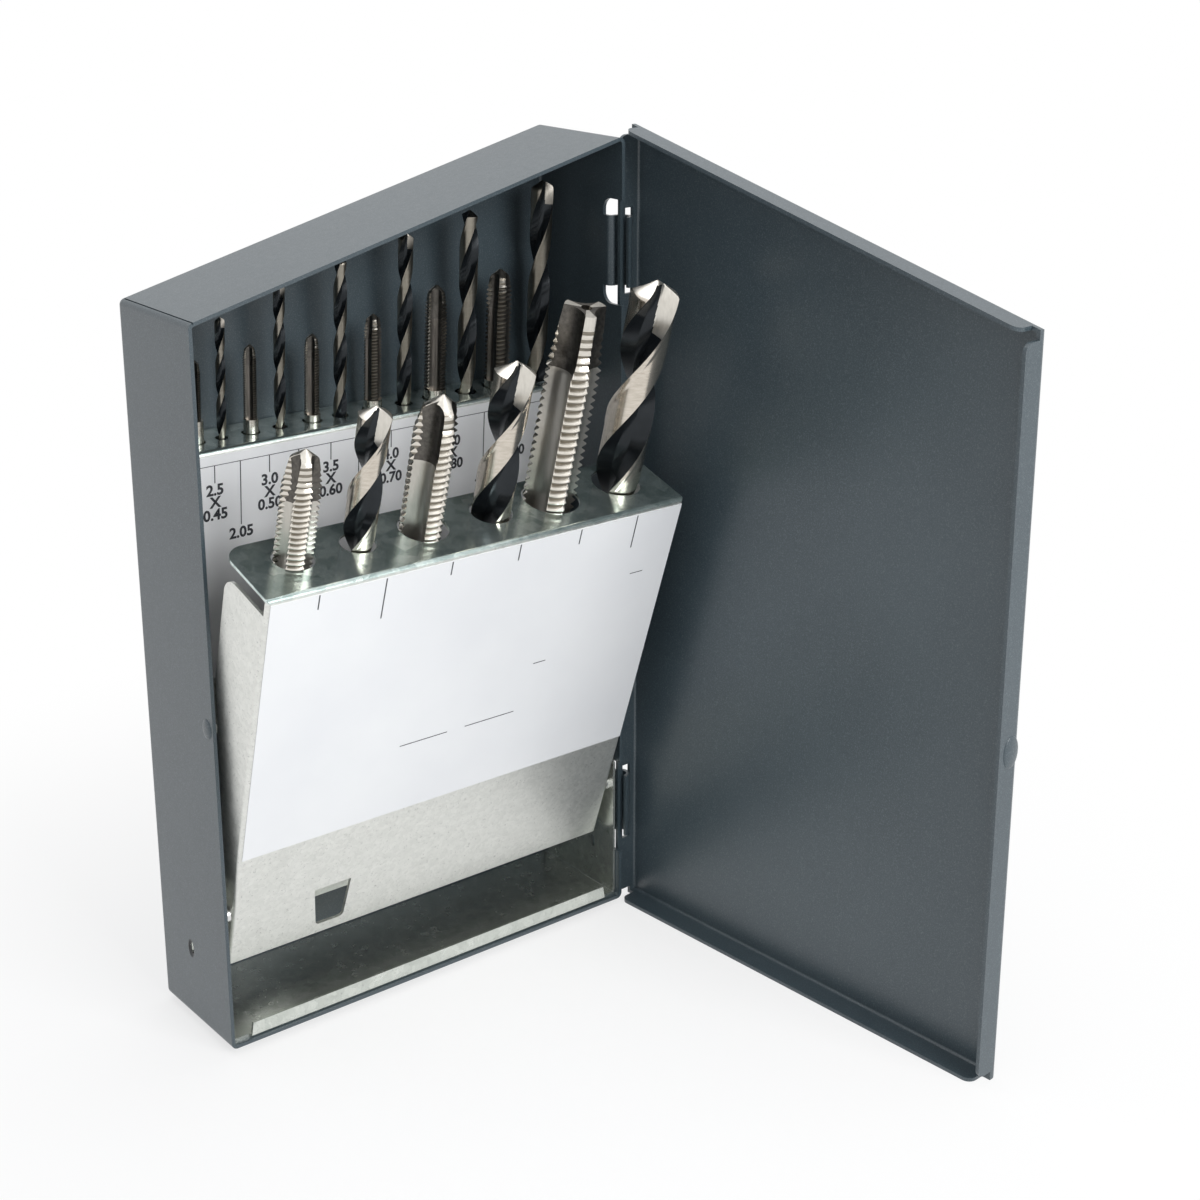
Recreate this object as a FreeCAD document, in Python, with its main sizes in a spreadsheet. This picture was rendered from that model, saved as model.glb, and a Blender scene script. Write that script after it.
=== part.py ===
import FreeCAD
import Part
import math
import os
import re
import Sketcher

# A folded sheet-metal case for metric hand taps and the drills that go with them.
# The base stands upright with its open side facing -Y. A cap-shaped lid is hooked to
# its right wall and is modelled standing open. Inside, two galvanised racks hang on
# pivots in the ears of a pan: the front rack leans out as the lid opens, the rear rack
# stands against the back wall and can be tipped forward by hand. Each rack has a
# drilled shelf and stop plates, so every tool stands in its own hole and lifts out.
#
# Frame: millimetres, +X to the right along the width, +Y to the back, +Z up. The origin
# is on the base's underside, in the middle of its width, at its open edge.

SIZES = [
    # painted case: base
    ("case_width", 106.5),
    ("case_depth", 30.0),
    ("case_height_right", 184.0),
    ("case_height_left", 157.0),
    ("case_sheet", 0.8),
    ("case_bend", 1.4),
    ("seam_width", 0.3),
    ("seam_depth", 0.35),
    # pressed marks in the side walls
    ("ear_mark_y", 16.2),
    ("ear_mark_z", 17.1),
    ("ear_mark_half_y", 1.35),
    ("ear_mark_half_z", 2.3),
    ("ear_mark_depth", 0.5),
    ("latch_y", 2.4),
    ("latch_z", 73.2),
    ("latch_half_y", 1.8),
    ("latch_half_z", 2.2),
    ("latch_height", 0.45),
    # lid: a shallow cap that fits over the base
    ("lid_gap", 0.6),
    ("lid_stand_off", 2.45),
    ("lid_flange", 6.35),
    ("lid_corner_gap", 2.0),
    ("lid_corner_round", 2.0),
    ("lid_open_angle", 94.13),
    ("lid_mark_y", -0.6),
    ("lid_mark_half_y", 2.3),
    ("lid_mark_half_z", 3.5),
    ("lid_mark_depth", 0.5),
    # hinge: tongues of the base's wall hooked through slots in the lid's flange
    ("hinge_strip_half", 0.75),
    ("hook_clear", 0.85),
    ("hook_bend", 0.9),
    ("hook_tip_angle", 110.0),
    ("hook_height", 15.7),
    ("upper_hook_z", 158.2),
    ("lower_hook_z", 24.05),
    ("notch_depth", 6.5),
    ("notch_room", 3.9),
    ("notch_round", 2.6),
    ("slot_room", 1.75),
    ("slot_clear", 0.6),
    # galvanised pan with a front lip and two ears
    ("pan_sheet", 0.6),
    ("pan_fit", 0.15),
    ("pan_front", 0.6),
    ("pan_back", 28.5),
    ("pan_bend", 1.0),
    ("ear_front", 1.5),
    ("ear_top", 36.5),
    ("ear_round", 1.5),
    ("lip_top", 4.2),
    ("lip_left", 48.1),
    ("lip_right", 48.5),
    ("lip_slant", 0.5),
    ("lip_bend", 0.45),
    ("ear_hole_y", 9.5),
    ("ear_hole_z", 12.0),
    ("ear_hole_half_y", 0.85),
    ("ear_hole_half_z", 1.5),
    ("ear_mark_clear", 0.35),
    # pivot pins of both racks
    ("pin_radius", 0.8),
    ("pin_head_radius", 1.15),
    ("pin_head", 0.6),
    ("pin_shoulder_radius", 1.6),
    ("pin_running", 0.05),
    ("pin_seat", 0.02),
    ("pin_side_play", 0.1),
    # both racks
    ("rack_sheet", 0.7),
    ("rack_bend", 1.1),
    ("hole_clear", 0.4),
    ("stop_hole_clear", 0.6),
    ("stop_lift", 0.03),
    ("label_thickness", 0.15),
    ("label_side", 0.6),
    ("label_top", 1.1),
    # front rack: place and lean of its pivot, its face, shelf, flanges and stops
    ("front_pivot_y", 4.1),
    ("front_pivot_z", 29.56),
    ("front_lean", 17.6),
    ("front_face_ahead", 2.1),
    ("front_below", 13.0),
    ("front_height", 95.5),
    ("front_half_top", 51.8),
    ("front_half_bottom", 50.0),
    ("front_shelf_depth", 18.6),
    ("front_shelf_round", 4.5),
    ("front_hole_row", 11.1),
    ("front_tool_tilt", 1.5),
    ("front_flange_depth", 16.0),
    ("front_flange_foot", 5.0),
    ("front_flange_foot_height", 16.5),
    ("front_flange_wide_height", 66.0),
    ("front_flange_top", 91.4),
    ("front_flange_round", 3.8),
    ("front_foot_round", 2.0),
    ("front_label_bottom", 29.5),
    ("tap_stop_depth", 43.0),
    ("tap_stop_slope", 0.0),
    ("tap_stop_reach", 17.0),
    ("tap_stop_leg", 6.0),
    ("drill_stop_depth", 82.0),
    ("drill_stop_slope", 0.0604),
    ("drill_stop_reach", 13.5),
    ("drill_stop_leg", 2.0),
    # lanced window in the front rack's face, with its tab folded in under the drill stop
    ("window_left", 30.5),
    ("window_right", 21.3),
    ("window_foot_left", 28.8),
    ("window_foot_right", 21.9),
    ("window_height", 10.8),
    ("window_round", 1.2),
    ("tab_length", 10.4),
    # rear rack
    ("rear_pivot_y", 26.35),
    ("rear_pivot_z", 17.0),
    ("rear_lean", 4.15),
    ("rear_face_ahead", 2.1),
    ("rear_below", 3.0),
    ("rear_height", 112.8),
    ("rear_half_top", 51.3),
    ("rear_half_bottom", 50.0),
    ("rear_shelf_depth", 12.6),
    ("rear_shelf_round", 2.5),
    ("rear_hole_row", 6.2),
    ("rear_tool_tilt", 0.0),
    ("rear_flange_depth", 10.2),
    ("rear_flange_foot", 3.9),
    ("rear_flange_foot_height", 6.0),
    ("rear_flange_wide_height", 90.0),
    ("rear_flange_top", 108.0),
    ("rear_flange_round", 3.0),
    ("rear_foot_round", 2.0),
    ("rear_label_bottom", 62.0),
    ("rear_stop_depth", 34.0),
    ("rear_stop_slope", 0.16),
    ("rear_stop_reach", 9.2),
    ("rear_stop_leg", 6.0),
    # cutting geometry that all taps and all drills share
    ("thread_depth_share", 0.54),
    ("flute_run_out", 2.0),
    ("flute_wall", 0.62),
    ("square_share", 0.75),
    ("shank_bevel", 0.5),
    ("drill_point_angle", 118.0),
    ("drill_helix_angle", 30.0),
    ("drill_flute_radius_share", 0.62),
    ("drill_web_share", 0.16),
]

# name: nominal size, pitch, whole length, threaded length, tapered lead, flat on the tip,
# shank, length of the drive square, place along the shelf
TAPS = {
    "front": [
        ("m8", 8.0, 1.25, 67.5, 28.6, 5.5, 0.6, 8.0, 9.0, -40.0),
        ("m10", 10.0, 1.5, 73.8, 38.0, 8.0, 0.6, 9.6, 11.0, -9.6),
        ("m12", 12.0, 1.75, 88.0, 50.0, 6.0, 9.4, 9.6, 12.0, 23.0),
    ],
    "rear": [
        ("m2_5", 2.5, 0.45, 44.6, 12.7, 2.2, 0.3, 3.2, 5.0, -41.6),
        ("m3", 3.0, 0.5, 48.1, 15.9, 2.4, 0.4, 3.2, 5.0, -28.9),
        ("m3_5", 3.5, 0.6, 50.6, 17.5, 2.8, 0.4, 3.5, 5.5, -14.1),
        ("m4", 4.0, 0.7, 55.2, 19.0, 3.2, 0.5, 4.0, 6.0, 1.05),
        ("m5", 5.0, 0.8, 62.0, 23.5, 3.6, 0.6, 5.0, 7.0, 17.3),
        ("m6", 6.0, 1.0, 66.1, 25.4, 4.2, 0.7, 6.0, 8.0, 34.4),
    ],
}

# name: diameter, whole length, fluted length, place along the shelf
DRILLS = {
    "front": [
        ("6_8", 6.8, 111.5, 73.0, -25.2),
        ("8_5", 8.5, 117.7, 84.0, 7.4),
        ("10_3", 10.3, 133.0, 98.0, 41.0),
    ],
    "rear": [
        ("2_05", 2.05, 53.9, 29.0, -35.7),
        ("2_5", 2.5, 61.3, 35.0, -21.95),
        ("2_9", 2.9, 67.3, 40.0, -7.2),
        ("3_3", 3.3, 73.3, 42.0, 9.1),
        ("4_2", 4.2, 79.2, 48.0, 25.7),
        ("5_0", 5.0, 87.0, 54.0, 45.3),
    ],
}

TAP_VALUES = ("size", "pitch", "length", "thread", "lead", "tip", "shank", "square", "place")
DRILL_VALUES = ("size", "length", "flute", "place")

doc = FreeCAD.newDocument("tap_and_drill_case")
sheet = doc.addObject("Spreadsheet::Sheet", "sizes")
NAMES = set()


def add_size(name, value):
    row = len(NAMES) + 1
    sheet.set("A%d" % row, name)
    sheet.set("B%d" % row, str(value))
    sheet.setAlias("B%d" % row, name)
    NAMES.add(name)


for size_name, size_value in SIZES:
    add_size(size_name, size_value)
for rack_name in ("front", "rear"):
    for tap_row in TAPS[rack_name]:
        for value_name, value in zip(TAP_VALUES, tap_row[1:]):
            add_size("tap_%s_%s" % (tap_row[0], value_name), value)
    for drill_row in DRILLS[rack_name]:
        for value_name, value in zip(DRILL_VALUES, drill_row[1:]):
            add_size("drill_%s_%s" % (drill_row[0], value_name), value)
doc.recompute()


def full(expression):
    """The expression with every size name pointing at the sheet."""
    def lookup(word):
        return "sizes." + word.group() if word.group() in NAMES else word.group()
    return re.sub(r"[A-Za-z_][A-Za-z0-9_]*", lookup, expression)


def value_of(expression):
    return float(sheet.evalExpression(full(expression)))


def bind(thing, prop, expression):
    thing.setExpression(prop, full(expression))


# ---------------------------------------------------------------- sketch helpers

def new_body(label):
    body = doc.addObject("PartDesign::Body", label)
    body.Label = label
    return body


def plane(body, role):
    return next(f for f in body.Origin.OriginFeatures if f.Role == role)


def new_sketch(body, role, offset):
    sketch = body.newObject("Sketcher::SketchObject", "outline")
    sketch.AttachmentSupport = (plane(body, role), "")
    sketch.MapMode = "FlatFace"
    if offset != "0":
        bind(sketch, "AttachmentOffset.Base.z", offset)
    return sketch


def pin_down(sketch, geometry, point, x_expression, y_expression):
    """Ties one sketch point to the origin by two bound distances."""
    ties = (("DistanceX", x_expression, -2), ("DistanceY", y_expression, -1))
    for kind, expression, axis in ties:
        value = value_of(expression)
        if expression == "0":
            tie = Sketcher.Constraint("PointOnObject", geometry, point, axis)
            sketch.addConstraint(tie)
        else:
            tie = Sketcher.Constraint(kind, -1, 1, geometry, point, value)
            index = sketch.addConstraint(tie)
            bind(sketch, "Constraints[%d]" % index, expression)


def polygon(body, role, corners, offset="0"):
    sketch = new_sketch(body, role, offset)
    spots = [FreeCAD.Vector(value_of(x), value_of(y), 0) for x, y in corners]
    count = len(spots)
    for i in range(count):
        sketch.addGeometry(Part.LineSegment(spots[i], spots[(i + 1) % count]), False)
    for i in range(count):
        sketch.addConstraint(Sketcher.Constraint("Coincident", i, 2, (i + 1) % count, 1))
    for i in range(count):
        pin_down(sketch, i, 1, corners[i][0], corners[i][1])
    return sketch


def box_corners(left, right, low, high):
    return [(left, low), (right, low), (right, high), (left, high)]


def circles(body, role, rings, offset="0"):
    sketch = new_sketch(body, role, offset)
    for x, y, radius in rings:
        centre = FreeCAD.Vector(value_of(x), value_of(y), 0)
        circle = Part.Circle(centre, FreeCAD.Vector(0, 0, 1), value_of(radius))
        index = sketch.addGeometry(circle, False)
        tie = sketch.addConstraint(Sketcher.Constraint("Radius", index, circle.Radius))
        bind(sketch, "Constraints[%d]" % tie, radius)
        pin_down(sketch, index, 3, x, y)
    return sketch


# ---------------------------------------------------------------- feature helpers

def pad(body, sketch, length, reverse=False, both_ways=False):
    feature = body.newObject("PartDesign::Pad", "pad")
    feature.Profile = sketch
    bind(feature, "Length", length)
    feature.Reversed = reverse
    if both_ways:
        feature.SideType = "Symmetric"
    doc.recompute()
    return feature


def pocket(body, sketch, length="3 * case_width", reverse=False, both_ways=False):
    """Cuts the sketch away; the volume has to fall, or the cut pointed into the air."""
    before = body.Shape.Volume
    feature = body.newObject("PartDesign::Pocket", "pocket")
    feature.Profile = sketch
    bind(feature, "Length", length)
    feature.Reversed = reverse
    if both_ways:
        feature.SideType = "Symmetric"
    doc.recompute()
    if body.Shape.Volume >= before:
        raise RuntimeError("a pocket of %s cut nothing" % body.Label)
    return feature


def round_edges(body, radius, test):
    """Fillets the edges of the body whose middle and direction pass the test."""
    base = body.Tip
    names = []
    for index, edge in enumerate(base.Shape.Edges, 1):
        start = edge.Vertexes[0].Point
        end = edge.Vertexes[-1].Point
        span = start.distanceToPoint(end)
        straight = span > 0 and near(span, edge.Length, 0.0001)
        if straight and test((start + end) * 0.5, (end - start).normalize()):
            names.append("Edge%d" % index)
    if not names:
        raise RuntimeError("no edge to round on %s" % body.Label)
    feature = body.newObject("PartDesign::Fillet", "bend")
    feature.Base = (base, names)
    bind(feature, "Radius", radius)
    doc.recompute()
    if feature.Shape.isNull() or not feature.Shape.isValid():
        raise RuntimeError("a bend of %s could not be rounded" % body.Label)
    return feature


def near(a, b, reach=0.02):
    return abs(a - b) < reach


def ellipsoid(body, kind, centre, halves):
    feature = body.newObject("PartDesign::%sEllipsoid" % kind, "dimple")
    feature.AttachmentSupport = (plane(body, "XY_Plane"), "")
    feature.MapMode = "FlatFace"
    for axis, expression in zip("xyz", centre):
        bind(feature, "AttachmentOffset.Base.%s" % axis, expression)
    for prop, expression in zip(("Radius2", "Radius3", "Radius1"), halves):
        bind(feature, prop, expression)
    doc.recompute()
    return feature


def dimple(body, proud_x, hollow_x, y, z, half_y, half_z, depth):
    """A pressed mark: proud of the sheet's face at proud_x, hollow at hollow_x."""
    ellipsoid(body, "Additive", (proud_x, y, z), (depth, half_y, half_z))
    inner = ("%s - 0.25 * case_sheet" % half_y, "%s - 0.25 * case_sheet" % half_z)
    ellipsoid(body, "Subtractive", (hollow_x, y, z), (depth, inner[0], inner[1]))


def turn(body, sketch, angle=None, angle_back=None, feature_type="Revolution"):
    feature = body.newObject("PartDesign::" + feature_type, "turned")
    feature.Profile = sketch
    feature.ReferenceAxis = (sketch, ["V_Axis"])
    if angle is None:
        feature.Angle = 360
    elif angle_back is None:
        bind(feature, "Angle", angle)
    else:
        feature.Type = "TwoAngles"
        bind(feature, "Angle", angle)
        bind(feature, "Angle2", angle_back)
    doc.recompute()
    return feature


# ---------------------------------------------------------------- derived places

HALF = "(case_width / 2)"
SLOPE = "((case_height_right - case_height_left) / case_width)"
SLANT = "(sqrt(1 + ((case_height_right - case_height_left) / case_width) ^ 2))"
LID_OUT = "(lid_gap + case_sheet)"
FREE_EDGE = "(lid_flange - lid_stand_off - case_sheet)"
HINGE_X = "(case_width / 2 + lid_gap + case_sheet / 2)"
HINGE_Y = "(%s - hinge_strip_half)" % FREE_EDGE
HOOK_RADIUS = "(sqrt((case_sheet / 2) ^ 2 + hinge_strip_half ^ 2) + hook_clear + case_sheet / 2)"
HOOK_TURN_X = "(case_width / 2 - case_sheet / 2 + hook_bend)"
HOOK_TURN_Y = "(%s + %s + hook_bend)" % (HINGE_Y, HOOK_RADIUS)
EAR_OUT = "(case_width / 2 - case_sheet - pan_fit)"
HOOKS = ("upper", "lower")


def roof(x, out):
    """Height of the slanted top at x, moved outwards by a distance."""
    return "(case_height_left + %s * (%s + case_width / 2) + (%s) * %s)" % (SLOPE, x, out, SLANT)


def slanted_outline(out):
    """The case's outline seen from the front, moved outwards (or inwards, if negative)."""
    left = "-%s - (%s)" % (HALF, out)
    right = "%s + (%s)" % (HALF, out)
    low = "-(%s)" % out
    return [(left, low), (right, low), (right, roof(right, out)), (left, roof(left, out))]


# ---------------------------------------------------------------- base of the case

def add_hook(body, name):
    """A tongue of the right wall, turned out and rolled round the hinge axis."""
    low = "%s_hook_z - hook_height / 2" % name
    high = "%s_hook_z + hook_height / 2" % name
    # the flat part, from the back of the notch to the first bend
    flat = box_corners("%s - case_sheet" % HALF, HALF, HOOK_TURN_Y, "notch_depth + case_sheet")
    flat_sketch = polygon(body, "XY_Plane", flat, low)
    pad(body, flat_sketch, "hook_height")
    # the outward bend
    bend_axis = new_axis_sketch(body, HOOK_TURN_X, HOOK_TURN_Y,
                                box_corners("-hook_bend - case_sheet / 2",
                                            "-hook_bend + case_sheet / 2", low, high))
    turn(body, bend_axis, "90")
    # the short straight between both bends
    link = box_corners(HOOK_TURN_X, HINGE_X, "%s + %s - case_sheet / 2" % (HINGE_Y, HOOK_RADIUS),
                       "%s + %s + case_sheet / 2" % (HINGE_Y, HOOK_RADIUS))
    pad(body, polygon(body, "XY_Plane", link, low), "hook_height")
    # the roll round the strip of the lid's flange
    roll = new_axis_sketch(body, HINGE_X, HINGE_Y,
                           box_corners("%s - case_sheet / 2" % HOOK_RADIUS,
                                       "%s + case_sheet / 2" % HOOK_RADIUS, low, high))
    turn(body, roll, "hook_tip_angle", "90")


def new_axis_sketch(body, axis_x, axis_y, corners):
    """A sketch in an upright plane whose vertical axis stands at the given place."""
    sketch = polygon(body, "XZ_Plane", corners, "-(%s)" % axis_y)
    bind(sketch, "AttachmentOffset.Base.x", axis_x)
    return sketch


def build_case_body():
    body = new_body("case_body")
    outline = polygon(body, "XZ_Plane", slanted_outline("0"))
    pad(body, outline, "case_depth", reverse=True)
    depth = value_of("case_depth")
    half = value_of(HALF)
    round_edges(body, "case_bend", lambda mid, way: near(mid.y, depth) or (
        near(abs(way.y), 1) and (near(mid.z, 0) or near(abs(mid.x), half))))
    inside = polygon(body, "XZ_Plane", slanted_outline("-case_sheet"))
    pocket(body, inside, "case_depth - case_sheet")
    inner_half = value_of(HALF + " - case_sheet")
    inner_back = value_of("case_depth - case_sheet")
    floor = value_of("case_sheet")
    tops = (value_of(roof("-%s + case_sheet" % HALF, "-case_sheet")),
            value_of(roof("%s - case_sheet" % HALF, "-case_sheet")))

    def inner(mid, way):
        inside_box = abs(mid.x) < inner_half + 0.02 and floor - 0.02 < mid.z
        along_depth = near(abs(way.y), 1) and near(abs(mid.x), inner_half)
        at_corner = near(mid.z, floor) or near(mid.z, tops[0]) or near(mid.z, tops[1])
        return inside_box and (near(mid.y, inner_back) or (along_depth and at_corner))

    round_edges(body, "case_bend - case_sheet", inner)
    # notches in the right wall round both tongues
    for name in HOOKS:
        low = "%s_hook_z - hook_height / 2 - notch_room" % name
        high = "%s_hook_z + hook_height / 2 + notch_room" % name
        notch = polygon(body, "YZ_Plane", box_corners("-1", "notch_depth", low, high),
                        "%s - case_sheet - notch_room" % HALF)
        pocket(body, notch, "case_sheet + 2 * notch_room", reverse=True)
    back_of_notch = value_of("notch_depth")
    round_edges(body, "notch_round", lambda mid, way: near(mid.y, back_of_notch)
                and near(abs(way.x), 1) and mid.x > 0)
    for name in HOOKS:
        add_hook(body, name)
    # a mark on each side wall stakes the pan; the latch bead stands on the left wall
    inner_face = "(case_width / 2 - case_sheet)"
    for side in ("", "-"):
        dimple(body, "%s%s" % (side, inner_face), "%s%s" % (side, HALF), "ear_mark_y",
               "ear_mark_z", "ear_mark_half_y", "ear_mark_half_z", "ear_mark_depth")
    dimple(body, "-" + HALF, "-" + inner_face, "latch_y", "latch_z", "latch_half_y",
           "latch_half_z", "latch_height")
    # the seam where the top sheet is folded down inside the left wall
    seam = polygon(body, "XZ_Plane", box_corners(
        "-%s + case_sheet" % HALF, "-%s + case_sheet + seam_width" % HALF,
        "case_height_left + %s * case_sheet - seam_depth" % SLOPE, "case_height_left + 2"))
    pocket(body, seam, "case_depth - case_bend")
    return body


# ---------------------------------------------------------------- lid

def build_case_lid():
    """The cap, drawn shut in the hinge's own frame and then swung open."""
    body = new_body("case_lid")
    shift = [("%s - %s" % (x, HINGE_X), z) for x, z in slanted_outline(LID_OUT)]
    front = "lid_stand_off + case_sheet + %s" % HINGE_Y
    outline = polygon(body, "XZ_Plane", shift, front)
    pad(body, outline, "lid_flange", reverse=True)
    front_y = -value_of(front)
    round_edges(body, "case_bend", lambda mid, way: near(mid.y, front_y))
    inside = [("%s - %s" % (x, HINGE_X), z) for x, z in slanted_outline("lid_gap")]
    tray = polygon(body, "XZ_Plane", inside, "lid_stand_off + %s" % HINGE_Y)
    pocket(body, tray, "lid_flange")
    panel_y = -value_of("lid_stand_off + %s" % HINGE_Y)
    round_edges(body, "case_bend - case_sheet", lambda mid, way: near(mid.y, panel_y))
    # open corners between the four flanges
    corners = slanted_outline(LID_OUT)
    for index, (x, z) in enumerate(corners):
        inwards_x = "+" if index in (0, 3) else "-"
        inwards_z = "+" if index in (0, 1) else "-"
        reach = "lid_corner_gap"
        x_in = "%s - %s %s %s" % (x, HINGE_X, inwards_x, reach)
        x_out = "%s - %s %s -2" % (x, HINGE_X, inwards_x)
        z_in = "%s %s %s" % (z, inwards_z, reach)
        z_out = "%s %s -2" % (z, inwards_z)
        cut = polygon(body, "XZ_Plane", [(x_in, z_in), (x_out, z_in), (x_out, z_out),
                                         (x_in, z_out)], "lid_stand_off + %s - case_bend" % HINGE_Y)
        pocket(body, cut, "lid_flange")
    free_y = value_of("hinge_strip_half")
    across = value_of("case_width") + 2 * value_of(LID_OUT)

    def flange_end(mid, way):
        return near(mid.y, free_y) and abs(way.y) < 0.01 and edge_is_short(way, mid)

    def edge_is_short(way, mid):
        from_left = mid.x + across - value_of("case_sheet") / 2
        side_flange = near(abs(way.x), 1) and (abs(mid.x) < 0.5 or abs(from_left) < 0.5)
        low_flange = near(abs(way.z), 1) and mid.z < 0
        steep = abs(way.x) < 0.5 and abs(way.z) > 0.9
        high_flange = steep and mid.z > value_of("case_height_left") and not side_flange
        return side_flange or low_flange or high_flange

    round_edges(body, "lid_corner_round", flange_end)
    # slots for the tongues
    for name in HOOKS:
        low = "%s_hook_z - hook_height / 2 - slot_room" % name
        high = "%s_hook_z + hook_height / 2 + slot_room" % name
        far = "-(%s + case_sheet / 2 + slot_clear)" % HOOK_RADIUS
        slot = polygon(body, "YZ_Plane", box_corners(far, "-hinge_strip_half", low, high),
                       "-2 * case_sheet")
        pocket(body, slot, "4 * case_sheet", reverse=True)
    # the pressed pocket that takes the latch bead
    far_face = "(-%s - %s - %s)" % (HALF, LID_OUT, HINGE_X)
    far_inner = "(-%s - lid_gap - %s)" % (HALF, HINGE_X)
    dimple(body, far_face, far_inner, "lid_mark_y - %s" % HINGE_Y, "latch_z",
           "lid_mark_half_y", "lid_mark_half_z", "lid_mark_depth")
    body.Placement = FreeCAD.Placement(FreeCAD.Vector(0, 0, 0),
                                       FreeCAD.Rotation(FreeCAD.Vector(0, 0, 1), 90))
    bind(body, "Placement.Base.x", HINGE_X)
    bind(body, "Placement.Base.y", HINGE_Y)
    bind(body, "Placement.Rotation.Angle", "lid_open_angle")
    return body


# ---------------------------------------------------------------- pan

def build_base_pan():
    body = new_body("base_pan")
    floor_low = "case_sheet"
    floor_high = "(case_sheet + pan_sheet)"
    inner = "(%s - pan_sheet)" % EAR_OUT
    trough = [("-" + EAR_OUT, "ear_top"), ("-" + EAR_OUT, floor_low), (EAR_OUT, floor_low),
              (EAR_OUT, "ear_top"), (inner, "ear_top"), (inner, floor_high),
              ("-" + inner, floor_high), ("-" + inner, "ear_top")]
    pad(body, polygon(body, "XZ_Plane", trough, "-ear_front"), "pan_back - ear_front", reverse=True)
    ear = value_of(EAR_OUT)
    ear_inside = value_of(inner)
    low = value_of(floor_low)
    high = value_of(floor_high)
    round_edges(body, "pan_bend", lambda mid, way: near(abs(way.y), 1)
                and near(mid.z, low) and near(abs(mid.x), ear))
    round_edges(body, "pan_bend - pan_sheet", lambda mid, way: near(abs(way.y), 1)
                and near(mid.z, high) and near(abs(mid.x), ear_inside))
    top = value_of("ear_top")
    round_edges(body, "ear_round", lambda mid, way: near(abs(way.x), 1) and near(mid.z, top))
    # the front edge of the floor and the lip turned up from it
    apron = box_corners("-lip_left", "lip_right", "pan_front", "ear_front + pan_sheet")
    pad(body, polygon(body, "XY_Plane", apron, floor_low), "pan_sheet")
    lip = [("-lip_left", floor_low), ("lip_right", floor_low), ("lip_right - lip_slant", "lip_top"),
           ("-lip_left + lip_slant", "lip_top")]
    pad(body, polygon(body, "XZ_Plane", lip, "-pan_front"), "pan_sheet", reverse=True)
    lip_front = value_of("pan_front")
    round_edges(body, "lip_bend", lambda mid, way: near(abs(way.x), 1)
                and near(mid.y, lip_front) and near(mid.z, low))
    # holes for the pivot pins
    pins = [("%s_pivot_y" % rack, "%s_pivot_z" % rack, "pin_radius + pin_seat")
            for rack in ("front", "rear")]
    pocket(body, circles(body, "YZ_Plane", pins), both_ways=True)
    # oval holes: one clears the case's pressed mark, the other is a plain locating hole
    marks = (("ear_mark_y", "ear_mark_z", "ear_mark_half_y + ear_mark_clear",
              "ear_mark_half_z + ear_mark_clear"),
             ("ear_hole_y", "ear_hole_z", "ear_hole_half_y", "ear_hole_half_z"))
    for y, z, half_y, half_z in marks:
        cut_oval(body, y, z, half_y, half_z)
    return body


def cut_oval(body, y, z, half_y, half_z):
    """An upright slot with round ends through both ears."""
    straight = "(%s - (%s))" % (half_z, half_y)
    slot = box_corners("%s - (%s)" % (y, half_y), "%s + %s" % (y, half_y),
                       "%s - %s" % (z, straight), "%s + %s" % (z, straight))
    pocket(body, polygon(body, "YZ_Plane", slot), both_ways=True)
    for sign in ("-", "+"):
        end = (y, "%s %s %s" % (z, sign, straight), half_y)
        pocket(body, circles(body, "YZ_Plane", [end]), both_ways=True)


# ---------------------------------------------------------------- racks

def rack_half(rack, height):
    """Half the rack's width at a height above the lower edge of its face."""
    spread = "(%s_half_top - %s_half_bottom)" % (rack, rack)
    return "(%s_half_bottom + %s * (%s) / %s_height)" % (rack, spread, height, rack)


def top_of(rack):
    return "(%s_height - %s_below)" % (rack, rack)


def place_in_rack(body, rack, x="0", y="0", z="0", tilt="0"):
    """Puts a body at a point of the rack's own frame, which turns about the pivot."""
    lean = "%s_lean" % rack
    body.Placement = FreeCAD.Placement(FreeCAD.Vector(0, 0, 0),
                                       FreeCAD.Rotation(FreeCAD.Vector(1, 0, 0), 10))
    bind(body, "Placement.Base.x", x)
    bind(body, "Placement.Base.y", "%s_pivot_y + (%s) * cos(%s) - (%s) * sin(%s)"
         % (rack, y, lean, z, lean))
    bind(body, "Placement.Base.z", "%s_pivot_z + (%s) * sin(%s) + (%s) * cos(%s)"
         % (rack, y, lean, z, lean))
    bind(body, "Placement.Rotation.Angle", "%s - (%s)" % (lean, tilt))


def tool_rows(rack):
    """Name, largest diameter and place of every tool that stands in the rack."""
    rows = []
    for row in TAPS[rack]:
        key = "tap_" + row[0]
        rows.append((key, "max(%s_size; %s_shank)" % (key, key), key + "_place"))
    for row in DRILLS[rack]:
        key = "drill_" + row[0]
        rows.append((key, key + "_size", key + "_place"))
    return rows


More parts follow.
